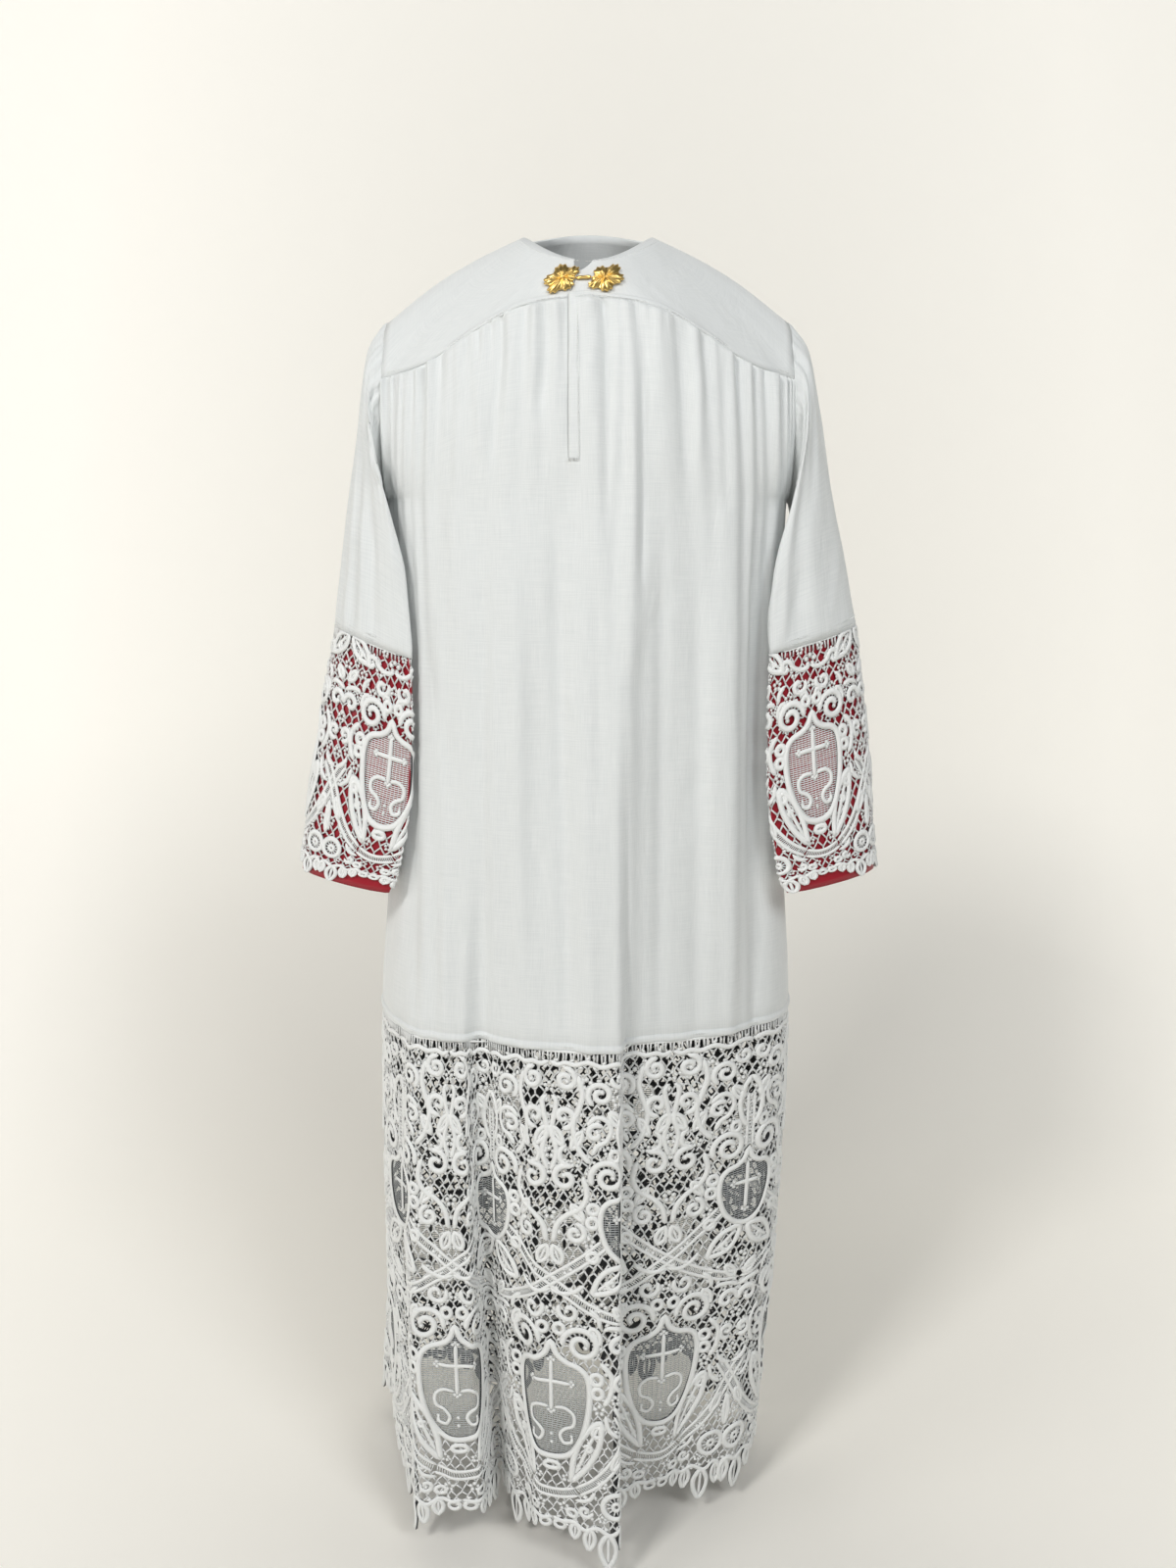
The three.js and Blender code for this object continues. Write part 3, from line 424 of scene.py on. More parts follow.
# Yoke: two layers of the same linen over the shoulders, in two fronts that part at the slit
# and one back, topstitched along the neck and above the gathers.
YOKE_THICK = 2.4
NECK_WIDE = 72
NECK_FRONT = (100, 44)
NECK_BACK = (62, -12)
NECK_SIDE_DROP = 5
YOKE_CROWN = 9
# How wide the neck opens at the slit, and how far down and across that reaches
OPENS_WIDE, OPENS_DOWN, OPENS_ACROSS = 0.08, 0.3, 0.14
YOKE_SMOOTH = 7


def neck_point(angle):
    """The neckline, from 0 at centre front to 180 at centre back"""
    s, c = np.sin(np.radians(angle)), np.cos(np.radians(angle))
    drop = blend(NECK_SIDE_DROP, np.where(c > 0, NECK_FRONT[1], NECK_BACK[1]), c * c)
    return np.stack([NECK_WIDE * s, -np.where(c > 0, NECK_FRONT[0], NECK_BACK[0]) * c, -drop], -1)


def yoke_point(facing, along, share):
    """The yoke: along is 0 at the centre and 1 at the shoulder line, share 0 at the neck"""
    along, share = np.broadcast_arrays(np.asarray(along, float), np.asarray(share, float))
    side = np.where(along < 0, -1, 1)
    way = np.abs(along)
    inner = to_side(neck_point(90 * way if facing > 0 else 180 - 90 * way), side)
    turn = YOKE_MEETS_ARMHOLE * (1 - (way - YOKE_SEAM_SHARE) / (1 - YOKE_SEAM_SHARE))
    on_seam = yoke_seam(facing, side * 90 * np.minimum(way / YOKE_SEAM_SHARE, 1))
    on_arm = to_side(armhole_point(facing * turn), side)
    outer = np.where((way <= YOKE_SEAM_SHARE)[..., None], on_seam, on_arm)
    point = blend(inner, outer, share[..., None])
    crown = YOKE_CROWN * np.sin(np.pi * share) * np.sin(np.radians(90 * way))
    lift = unit(np.stack([point[..., 0], point[..., 1], 140 + 0 * share], -1))
    return point + lift * crown[..., None]


def add_yoke(name, facing, side, lines=()):
    """One piece of the yoke; side 0 is the whole back"""
    start = SLIT_ANGLE / 90 * YOKE_SEAM_SHARE * side
    ways = np.linspace(start, 1, 76) if side else np.linspace(-1, 1, 150)
    shares = np.linspace(0, 1, 17)
    rows = []
    for share in shares:
        opening = 0
        if side:
            near = np.clip(1 - (ways - start) / OPENS_ACROSS, 0, 1)
            opening = OPENS_WIDE * max(0, 1 - share / OPENS_DOWN) * near
        row = yoke_point(facing, (ways + opening) * (side or 1), share)
        if side:
            row[0, 0] += side * 0.5
        rows.append(row)
    grid = np.stack(rows)
    before = grid[:, :1] + (grid[:, :1] - grid[:, 1:YOKE_SMOOTH + 1][:, ::-1])
    after = grid[:, -1:] + (grid[:, -1:] - grid[:, -YOKE_SMOOTH - 1:-1][:, ::-1])
    wide = np.concatenate([before, grid, after], axis=1)
    mean = np.stack([wide[:, k:k + grid.shape[1]] for k in range(2 * YOKE_SMOOTH + 1)]).mean(axis=0)
    grid = blend(grid, mean, np.sin(np.pi * shares)[:, None, None])
    normals = grid_normals(grid, inside=grid * (0.3, 0.3, 1) - (0, 0, 60))
    height = creases(grid[..., 0], grid[..., 2 if facing > 0 else 1], lines)
    height += 0.8 * ripple(ways[None, :] * 0.5 + 0.5, 9, 2.0) * (shares ** 2)[:, None]
    grid = grid + normals * height[..., None]
    return add_cloth(name, grid, normals, linen, YOKE_THICK)


YOKE_CREASES = [(-66, -30, -52, -84, 7, -0.8), (70, -28, 56, -84, 7, -0.8), (40, -46, 92, -62, 7, 0.7),
                (-44, -50, -96, -66, 7, 0.7)]
yoke_right = add_yoke("linen_yoke_right", 1, -1, YOKE_CREASES)
yoke_left = add_yoke("linen_yoke_left", 1, 1, YOKE_CREASES)
yoke_back = add_yoke("linen_yoke_back", -1, 0)
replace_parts(yoke_right, "yoke_right")
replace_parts(yoke_left, "yoke_left")
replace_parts(yoke_back, "yoke_back")


# Sleeves: straight-cut linen, eased into the armhole with small gathers over the shoulder
# and turned up at the wrist seam, where the cuff lace begins.
SLEEVE = [
    (0, 222, -92, 228, -285, 62, 0, 0, 0),
    (1, 241, -118, 233.5, -296, 67, 1, 3, 1),
    (2, 252, -165, 236, -312, 73, 5, 13, 3),
    (3, 263, -235, 237, -345, 76, 10, 32, 7),
    (4, 276, -325, 237, -388, 76, 17, 53, 12),
    (5, 291, -425, 237, -443, 75, 24, 66, 17),
    (6, 306, -500, 238, -522, 72, 29, 72, 13),
    (7, 322, -584, 241, -605, 69, 34, 75, 8),
    (8, 335, -668, 245, -688, 65, 39, 66, 2),
    (9, 343, -716, 249, -730, 62, 42, 56, 0),
]
CUFF_SEAM = 5
HANDS = (("right", -1), ("left", 1))
SLEEVE_ROUND = 0.86
# The gathers at the head of a sleeve: height, crests, seed, and how far down they fade
HEAD_GATHERS = [(3.6, 36, 3, 22), (2.6, 17, 2, 90)]
SLEEVE_WAVES = (2.8, 8)


def sleeve_point(turn, row, side):
    """The outer face of a sleeve; turn 0 is its outer edge, 90 its front"""
    turn, row = np.broadcast_arrays(np.asarray(turn, float), np.asarray(row, float))
    out_x, out_z, in_x, in_z, half, forward, lap, fuller = np.moveaxis(from_table(SLEEVE, row), -1, 0)
    outer = np.stack([out_x + (fuller if side > 0 else 0), -forward, out_z], -1)
    inner = np.stack([in_x, -forward, in_z], -1)
    power = blend(1, SLEEVE_ROUND, np.clip(row, 0, 1))
    s, c = np.sin(np.radians(turn)), np.cos(np.radians(turn))
    across = outer - inner
    point = (outer + inner) / 2 + across * (np.sign(c) * np.abs(c) ** power / 2)[..., None]
    point[..., 1] -= half * np.sign(s) * np.abs(s) ** power
    shift = np.where(s > 0, lap * s * s, 0)
    point[..., 0] -= shift
    point[..., 2] -= shift * across[..., 2] / across[..., 0] * np.clip(row - CUFF_SEAM + 1, 0, 1)
    return point * (side, 1, 1)


SLEEVE_CREASES = [
    (-20, 40, 30, 150, 8, -3.2), (36, 30, 56, 170, 8, -3.4), (-60, 60, -40, 190, 9, -2.6),
    (70, 120, 40, 260, 9, -2.6), (0, 170, 36, 300, 9, 2.6), (-40, 220, 4, 320, 8, -2.2),
    (100, 60, 90, 220, 10, -2.4), (130, 40, 120, 200, 12, -2.2), (160, 120, 130, 280, 10, 2.0),
    (-90, 120, -120, 260, 12, -2.2), (-130, 40, -150, 200, 12, -2.2), (-160, 180, -130, 310, 10, 2.0),
    (60, 230, 100, 310, 6, -1.6), (-100, 240, -60, 330, 7, 1.6), (20, 270, -16, 340, 6, 1.4),
    (10, 60, 14, 250, 7, 1.8), (54, 190, 60, 330, 6, 1.5), (-24, 110, -14, 300, 6, -1.6),
]
ARMHOLE_CREASES = [
    (-38, 6, 34, 88, 5, -3.8), (-24, 4, 46, 84, 5, 3.0), (-6, 2, 42, 48, 3.5, -2.8),
    (-60, 10, -30, 90, 5, -2.6),
]


def add_sleeve(name, side):
    """One sleeve from the armhole to the wrist seam"""
    turns = np.linspace(0, 360, 132, endpoint=False)
    rows = np.concatenate([[0, 0.04, 0.1, 0.18, 0.28], np.linspace(0.4, CUFF_SEAM, 44)])
    grid = np.stack([sleeve_point(turns, row, side) for row in rows])
    grid[0, :, 0] -= side * 1.8
    normals = grid_normals(grid, around=True)
    normals[0] = unit((grid[0] - grid[0].mean(axis=0)) * (0, 1, 1))
    steps = np.linalg.norm(np.diff(grid, axis=0), axis=-1)
    down = np.concatenate([0 * steps[:1], np.cumsum(steps, axis=0)])
    girth = np.linalg.norm(np.roll(grid, -1, axis=1) - grid, axis=-1)
    across = np.cumsum(girth, axis=1) - girth[:, :34].sum(axis=1, keepdims=True)
    across = np.where(across > 215, across - girth.sum(axis=1, keepdims=True), across)
    head = np.clip(np.cos(np.radians(turns)) + 0.45, 0, 1)[None, :]
    height = 0 * down
    for high, count, seed, fade in HEAD_GATHERS:
        height += high * ripple(turns[None, :] / 360, count, seed * side) * head * np.exp(-down / fade)
    height *= np.clip(down / 6, 0, 1)
    seam_near = np.clip((CUFF_SEAM - rows) / 0.25, 0.12, 1)[:, None]
    high, count = SLEEVE_WAVES
    height += high * ripple(turns[None, :] / 360, count, side) * np.clip(down / 200, 0, 1) * seam_near
    settle = np.clip(down / 60, 0, 1) * seam_near
    lower = 0 if side > 0 else 14
    height += creases(across * side, down + lower, SLEEVE_CREASES) * settle
    height += creases(across, down, ARMHOLE_CREASES) * np.clip(down / 14, 0, 1)
    height[0] = -1.2
    grid = grid + normals * height[..., None]
    sleeve = add_cloth(name, grid, normals, linen, LINEN_THICK, around=True)
    return sleeve


for hand, side in HANDS:
    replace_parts(add_sleeve(f"linen_sleeve_{hand}", side), f"sleeve_{hand}")


# Hem lace: deep machine-made cotton lace, of corded scrolls, flowers and leaves on an uneven net, with
# ladder tapes and gauze panels that hold a plain cross. One repeat is drawn flat for the front and one
# in thicker cord for the back, 190 mm wide and 638 mm deep, and eight are laid round the skirt.
REPEAT = 190
LACE_DEEP = 638
MEDALLION = [(95, 158), (90, 170), (81, 177), (70, 180), (62, 188), (59, 203), (61, 221), (68, 239),
             (80, 252), (95, 258)]
CARTOUCHE = [(0, 364), (7, 380), (19, 389), (32, 393), (42, 402), (46, 420), (45, 446), (41, 470),
             (33, 494), (20, 512), (0, 518)]
SCROLLS = [
    ((19, 34), 14, 1.4, -100, 1, 4.4), ((17, 79), 15, 1.1, 100, -1, 4.6),
    ((60, 50), 16, 1.5, 120, 1, 4.4), ((83, 32), 11, 1.1, -160, -1, 4.0),
    ((54, 97), 12, 1.0, -40, -1, 4.4), ((69, 150), 22, 1.6, 150, 1, 4.8),
    ((19, 154), 17, 1.2, -60, -1, 4.8), ((30, 222), 13, 1.3, -90, 1, 4.4), ((72, 283), 8, 1.0, 30, 1, 3.6),
    ((37, 364), 24, 1.6, 170, 1, 4.8), ((80, 362), 15, 1.1, 20, -1, 4.6), ((84, 408), 12, 1.2, 60, 1, 4.2),
    ((44, 500), 6.5, 1.0, 200, 1, 3.4), ((40, 584), 9, 1.2, 0, 1, 3.6), ((22, 322), 14, 1.1, 210, -1, 4.2),
]
STEMS = [
    ([(0, 13), (10, 17), (19, 14), (31, 16), (46, 12), (62, 17), (78, 13), (95, 15)], 3.8),
    ([(34, 28), (39, 50), (35, 68), (28, 90), (34, 116), (48, 134)], 4.4),
    ([(95, 62), (86, 74), (80, 94), (84, 116), (92, 128)], 4.2),
    ([(2, 54), (8, 62), (3, 96), (8, 122), (2, 146)], 3.8),
    ([(39, 150), (44, 172), (36, 190), (20, 200), (8, 214), (4, 236)], 4.4),
    ([(44, 88), (54, 78), (66, 80), (72, 92), (66, 106), (56, 112), (50, 124)], 3.8),
    ([(20, 112), (12, 122), (14, 134), (24, 138)], 3.8),
    ([(62, 342), (70, 338), (84, 340), (95, 346)], 3.8),
    ([(40, 286), (28, 296), (14, 300), (0, 296)], 3.8),
    ([(46, 316), (56, 326), (58, 340)], 3.8),
    ([(58, 384), (66, 392), (72, 404), (70, 424), (62, 440)], 4.2),
    ([(74, 440), (82, 452), (95, 458)], 3.8),
    ([(64, 452), (68, 470), (82, 482)], 3.6),
    ([(95, 504), (92, 530), (95, 552)], 3.6),
    ([(52, 556), (44, 568), (28, 572)], 3.4),
    ([(0, 602), (12, 605), (26, 602), (40, 610), (54, 604), (70, 612), (84, 604), (95, 610)], 3.8),
]
LOOPS = [
    ((51, 190), 6, 6, 3.8), ((50, 207), 6, 6.5, 3.8), ((54, 406), 6.5, 7, 4.0), ((55, 424), 6, 6.5, 4.0),
    ((77, 573), 16, 16, 4.4), ((77, 573), 4.6, 4.6, 3.2), ((0, 530), 9, 4.6, 3.6), ((9, 610), 6.5, 5, 3.2),
    ((54, 475), 5.5, 7, 3.8), ((24, 590), 6, 5, 3.2),
    ((50, 250), 6, 6, 3.6), ((76, 124), 5.5, 6.5, 3.6), ((10, 346), 6, 6.5, 3.8),
]
LEAVES = [
    ((89, 262), (50, 296), 24, 4.4), ((12, 262), (4, 240), 12, 3.4), ((58, 462), (24, 546), 22, 4.6),
    ((67, 612), (67, 656), 19, 4.2), ((46, 608), (44, 636), 12, 3.6), ((89, 608), (90, 638), 12, 3.6),
    ((28, 604), (27, 624), 11, 3.4), ((2, 92), (16, 114), 10, 3.6), ((38, 96), (26, 118), 9, 3.4),
    ((84, 88), (70, 70), 10, 3.6), ((88, 330), (74, 312), 10, 3.6),
    ((48, 340), (58, 360), 10, 3.6), ((84, 500), (72, 524), 10, 3.6), ((26, 186), (40, 206), 9, 3.4),
]
WHEELS = [((69, 150), 10, 20, 14), ((37, 364), 12, 23, 16), ((77, 573), 6, 15, 12), ((19, 154), 8, 15, 10),
          ((60, 50), 7, 14, 9)]
FLOWERS = [
    (44, 38, 8.5), (80, 58, 8.5), (95, 94, 8), (0, 124, 8), (46, 232, 8), (0, 200, 8.5), (95, 306, 8.5),
    (60, 314, 8), (57, 446, 8), (95, 386, 8), (76, 432, 7), (95, 436, 7.5), (18, 544, 6.5), (95, 574, 7),
    (60, 545, 7), (14, 584, 7), (0, 256, 6.5), (0, 44, 7), (30, 134, 7), (20, 270, 7.5), (86, 532, 7),
    (36, 524, 6), (60, 592, 6), (0, 322, 7), (68, 118, 6.5), (86, 476, 7.5),
]
TAPES = [
    [(64, 232), (38, 256), (0, 285), (-38, 311), (-68, 325), (-95, 330)],
    [(112, 450), (95, 479), (76, 514), (54, 542), (30, 560)],
    [(-30, 560), (-14, 566), (0, 568), (14, 566), (30, 560)],
]
CUFF_SCROLLS = [((46, 292), 13, 1.2, 160, 1, 4.2), ((12, 338), 8, 1.0, 20, -1, 3.6)]
CUFF_FLOWERS = [(0, 288, 12), (30, 302, 8), (76, 300, 7), (40, 336, 7.5), (0, 348, 7), (66, 346, 6.5)]
CORD_LEVEL = -1.6
NET_LEVEL = -1.8
GAUZE_LEVEL = -2.1
# Faces of the laid lace that lie deeper than this level take painted shade: near black, standing for the
# shade inside the robe.
PAINTED_SHADE_LEVEL = -1.98
NET_FOOT = 612
NET_WIDE = 1.4
NET_LEAST = 0.8
NET_JITTER = 0.22
LADDER = (84, 156)
TOP_CORD = 2.6
UPRIGHT_WIDE = 1.5
UPRIGHT_TALL = 14
SPOKE_WIDE = 1.4
TAPE_HALF = 5
TAPE_CORD = 2.7
RUNG_WIDE = 0.9
RUNG_GAP = 2.9
# Where a cross starts and ends in its panel, as shares of the panel's depth, and half its width
CROSS_SMALL = (0.17, 0.82, 17)
CROSS_DEEP = (0.16, 0.60, 24)
CROSS_SCROLL = [(3, 452), (16, 450), (27, 458), (26, 472), (16, 478), (10, 487), (15, 497), (24, 494),
                (24, 487)]


def smooth_line(points, step, closed=False):
    """A smooth curve through the points, in even steps"""
    p = np.array(points, float)
    ends = (p[-1:], p[:2]) if closed else (2 * p[:1] - p[1:2], 2 * p[-1:] - p[-2:-1])
    p = np.concatenate([ends[0], p, ends[1]])
    parts = []
    for a, b, c, d in zip(p[:-3], p[1:-2], p[2:-1], p[3:]):
        t = np.linspace(0, 1, 9)[:-1, None]
        parts.append(0.5 * (2 * b + (c - a) * t + (2 * a - 5 * b + 4 * c - d) * t ** 2
                            + (3 * b - a - 3 * c + d) * t ** 3))
    line = np.concatenate(parts + [p[-2:-1]])
    run = run_length(line)
    count = max(5, round(run[-1] / step) + 1)
    return along_line(line, run, np.linspace(0, run[-1], count)[:count - 1 if closed else count])


def scroll_points(centre, reach, turns, start, way):
    """A scroll that winds in towards its centre"""
    t = np.linspace(0, 1, max(8, int(turns * 12)))
    r = reach * (1 - 0.78 * t ** 0.9)
    a = math.radians(start) + way * turns * 2 * math.pi * t
    return np.stack([centre[0] + r * np.cos(a), centre[1] + r * np.sin(a)], axis=1)


def ring_points(centre, wide, tall, count=12):
    a = np.linspace(0, 2 * math.pi, count, endpoint=False)
    return np.stack([centre[0] + wide * np.cos(a), centre[1] + tall * np.sin(a)], axis=1)


def square_to(go):
    """The direction at right angles to a flat direction"""
    return np.stack([-go[..., 1], go[..., 0]], axis=-1) / np.linalg.norm(go, axis=-1, keepdims=True)


def leaf_points(base, tip, wide):
    """A pointed oval from its base to its tip"""
    base, tip = np.array(base, float), np.array(tip, float)
    go = tip - base
    side = square_to(go) * wide / 2
    shape = ((0.12, 0.55), (0.38, 1), (0.68, 0.82), (0.9, 0.32))
    right = [base + go * t + side * w for t, w in shape]
    left = [base + go * t - side * w for t, w in shape[::-1]]
    return np.array([base, *right, tip, *left])


def mirrored(points):
    return np.asarray(points, float) * (-1, 1)


def beside(line):
    """The direction across a line at each of its points"""
    return square_to(np.gradient(line, axis=0))


def in_shape(points, shape):
    """Which points lie in a closed shape"""
    x, y = points[:, :1], points[:, 1:]
    a, b = shape, np.roll(shape, -1, axis=0)
    crosses = (a[:, 1] > y) != (b[:, 1] > y)
    rise = np.where(b[:, 1] == a[:, 1], 1, b[:, 1] - a[:, 1])
    return np.sum(crosses & (x < (b[:, 0] - a[:, 0]) * (y - a[:, 1]) / rise + a[:, 0]), axis=1) % 2 == 1


class Lace:
    """A flat piece of lace: vertices (across, down, height) and faces"""

    def __init__(self, thick=1.0):
        self.thick = thick
        self.points = []
        self.faces = []
        self.count = 0

    def add(self, points, faces):
        self.points.append(points)
        self.faces.append([(f + self.count) for f in faces])
        self.count += len(points)

    def cord(self, line, wide, closed=False):
        """A plump cord along a line; open ends taper off"""
        wide = wide * self.thick
        sides = 5 if wide > 3.2 else 4
        scale = np.ones(len(line))
        if closed:
            side = beside(np.concatenate([line[-1:], line, line[:1]]))[1:-1]
        else:
            side = beside(line)
            scale[[0, -1]] = 0.12
            scale[[1, -2]] = 0.86
        turn = 2 * np.pi * np.arange(sides) / sides + np.pi / 2
        lateral = np.cos(turn)[None, :] * scale[:, None] * wide / 2
        up = np.sin(turn)[None, :] * scale[:, None] * wide * 0.37 + CORD_LEVEL
        flat = line[:, None, :] + side[:, None, :] * lateral[..., None]
        points = np.concatenate([flat, up[..., None]], axis=-1).reshape(-1, 3)
        n = len(line)
        a = np.arange(n if closed else n - 1)[:, None] * sides
        b = (a + sides) % (n * sides)
        j = np.arange(sides)[None, :]
        k = (j + 1) % sides
        faces = [np.stack([a + j, a + k, b + k, b + j], axis=-1).reshape(-1, 4)]
        if not closed:
            last = (n - 1) * sides
            faces.append(np.array([(3, 2, 1, 0), (last, last + 1, last + 2, last + 3)]))
            if sides == 5:
                faces.append(np.array([(4, 3, 0), (last, last + 3, last + 4)]))
        self.add(points, faces)

    def bars(self, ends, wide):
        """Thin straight bars of three sides, one for each pair of ends"""
        ends = np.array(ends, float).reshape(-1, 2, 2)
        wide = np.full((len(ends), 1), wide * self.thick)
        side = square_to(ends[:, 1] - ends[:, 0]) * wide / 2
        points = []
        for end in (0, 1):
            at = ends[:, end]
            for across, up in ((-1, -0.28), (1, -0.28), (0, 0.5)):
                points.append(np.concatenate([at + side * across, NET_LEVEL + wide * up], axis=1))
        points = np.stack(points, axis=1).reshape(-1, 3)
        start = np.arange(len(ends))[:, None] * 6
        quads = np.concatenate([start + q for q in ((0, 1, 4, 3), (1, 2, 5, 4), (2, 0, 3, 5))])
        caps = np.concatenate([start + q for q in ((0, 2, 1), (3, 4, 5))])
        self.add(points, [quads, caps])

    def knob(self, at, along, across=None, turn=0, high=1.6):
        """A small round or oval knob"""
        across = along if across is None else across
        a = np.linspace(0, 2 * np.pi, 7)[:-1]
        x, y = along * np.cos(a), across * np.sin(a)
        c, s = math.cos(turn), math.sin(turn)
        ring = np.stack([at[0] + x * c - y * s, at[1] + x * s + y * c, 0 * a + CORD_LEVEL], axis=1)
        tops = np.array([(at[0], at[1], CORD_LEVEL + high), (at[0], at[1], CORD_LEVEL - 0.8)])
        k = np.arange(6)
        up = np.stack([k, (k + 1) % 6, 0 * k + 6], axis=1)
        low = np.stack([(k + 1) % 6, k, 0 * k + 7], axis=1)
        self.add(np.concatenate([ring, tops]), [np.concatenate([up, low])])

    def flower(self, at, reach):
        """Five petals round an open eye"""
        for k in range(5):
            a = 2 * math.pi * k / 5 - math.pi / 2
            centre = (at[0] + reach * 0.62 * math.cos(a), at[1] + reach * 0.62 * math.sin(a))
            self.knob(centre, reach * 0.42, reach * 0.38, a, high=1.7)


def net_segments(shapes, pitch, first, last, seed):
    """An uneven honeycomb that stops at the shapes"""
    rng = np.random.default_rng(seed)
    columns = round(REPEAT / (pitch * math.sqrt(3)))
    dx = REPEAT / columns
    rows = int((last - first) / (pitch * 1.5))
    r, c, k = np.meshgrid(np.arange(rows + 1), np.arange(-1, columns + 1), (0, 1), indexing="ij")
    jitter = rng.uniform(-NET_JITTER, NET_JITTER, (rows + 1, columns, 2, 2)) * pitch
    moved = jitter[r, c % columns, k]
    node = np.stack([-REPEAT / 2 + dx * (c + 0.5 * (r % 2)) + moved[..., 0],
                     first + pitch * (1.5 * r + 0.5 * k) + moved[..., 1]], axis=-1)
    inner = slice(1, columns + 1)
    parts = [np.stack([node[:-1, inner, 0], node[:-1, inner, 1]], axis=-2).reshape(-1, 2, 2)]
    for row in range(rows):
        shift = row % 2
        for step in (shift - 1, shift):
            below = node[row + 1, 1 + step:columns + 1 + step, 0]
            parts.append(np.stack([node[row, inner, 1], below], axis=-2).reshape(-1, 2, 2))
    ends = np.concatenate(parts)

    def hit(p):
        blocked = np.zeros(len(p), bool)
        for shape in shapes:
            low, high = shape.min(axis=0), shape.max(axis=0)
            for move in (-REPEAT, 0, REPEAT):
                near = np.all((p >= low + (move, 0)) & (p <= high + (move, 0)), axis=1)
                if near.any():
                    blocked[near] |= in_shape(p[near], shape + (move, 0))
        return blocked

    def edge(a, b):
        """Where the bar from a blocked end a comes out of the shape"""
        low, high = np.zeros(len(a)), np.ones(len(a))
        for _ in range(5):
            middle = (low + high) / 2
            blocked = hit(blend(a, b, middle[:, None]))
            low, high = np.where(blocked, middle, low), np.where(blocked, high, middle)
        return blend(a, b, low[:, None])

    a, b = ends[:, 0], ends[:, 1]
    in_a, in_b = hit(a), hit(b)
    new_a = np.where(in_a[:, None], edge(a, b), a)
    new_b = np.where(in_b[:, None], edge(b, a), b)
    kept = ~(in_a & in_b) & (np.linalg.norm(new_a - new_b, axis=1) > NET_LEAST)
    return np.stack([new_a, new_b], axis=1)[kept]


def both_sides(at):
    """Both mirrored places, or one where it lies on an axis of the repeat"""
    return [at] if abs(at[0]) in (0, REPEAT / 2) else [at, (-at[0], at[1])]


def whole_outline(half, middle):
    """A closed outline from its right half"""
    return np.array(half + [(2 * middle - u, v) for u, v in half[-2:0:-1]], float)


def draw_scrolls(lace, scrolls, step):
    """Corded scrolls with a knob at the heart and small knobs along the outer edge"""
    for centre, reach, turns, start, way, wide in scrolls:
        line = smooth_line(scroll_points(centre, reach, turns, start, way), step)
        for curve in (line, mirrored(line)):
            lace.cord(curve, wide)
            lace.knob(curve[-1], wide * 0.85, high=2.2)
            outward = -way if curve is line else way
            outside = curve + beside(curve) * outward * wide
            for at in outside[2:len(curve) * 2 // 3:2]:
                lace.knob(at, 2.5, high=1.3)


def draw_stems(lace, stems, step):
    """Corded stems with small leaves on alternate sides"""
    for points, wide in stems:
        line = smooth_line(points, step)
        for curve in (line, mirrored(line)):
            lace.cord(curve, wide)
            for k in range(2, len(curve) - 2, 3):
                go = curve[k + 1] - curve[k - 1]
                side = 1 if k % 2 else -1
                at = curve[k] + square_to(go) * side * (wide / 2 + 2.4)
                lace.knob(at, 3.9, 2.1, math.atan2(go[1], go[0]) + 0.6 * side, high=1.4)


def draw_leaves(lace, leaves, step):
    """Corded outlines of leaves, each with a vein"""
    for base, tip, broad, wide in leaves:
        line = smooth_line(leaf_points(base, tip, broad), step, closed=True)
        vein = smooth_line([blend(np.array(base, float), tip, t) for t in (0.08, 0.5, 0.88)], step)
        for shape, middle in ((line, vein), (mirrored(line), mirrored(vein))):
            lace.cord(shape, wide, closed=True)
            lace.cord(middle, wide * 0.6)


def wheel_spokes(wheels):
    """The spokes of open wheels, and the rounds that the net keeps clear of"""
    spokes, rounds = [], []
    for centre, low, high, count in wheels:
        for k in range(count):
            a = 2 * math.pi * (k + 0.5) / count
            way = np.array([math.cos(a), math.sin(a)])
            spoke = np.array([centre + low * way, centre + high * way])
            spokes += [spoke, mirrored(spoke)]
        circle = ring_points(centre, high * 0.95, high * 0.95)
        rounds += [circle, mirrored(circle)]
    return spokes, rounds


def draw_tapes(lace, tapes):
    """The edges of ladder tapes, with their rungs and the outlines that the net keeps clear of"""
    rungs, outlines = [], []
    for points in tapes:
        tape = smooth_line(points, 4.2)
        crosses_middle = points[0][0] == -points[-1][0]
        for line in [tape] if crosses_middle else [tape, mirrored(tape)]:
            side = beside(line) * TAPE_HALF
            lace.cord(line + side, TAPE_CORD)
            lace.cord(line - side, TAPE_CORD)
            outlines.append(np.concatenate([line + side, (line - side)[::-1]]))
            run = run_length(line)
            at = np.arange(1.5, run[-1], RUNG_GAP)
            middle, off = along_line(line, run, at), along_line(side, run, at)
            rungs += list(np.stack([middle[:-1] - off[:-1], middle[1:] + off[1:]], axis=1))
    return rungs, outlines


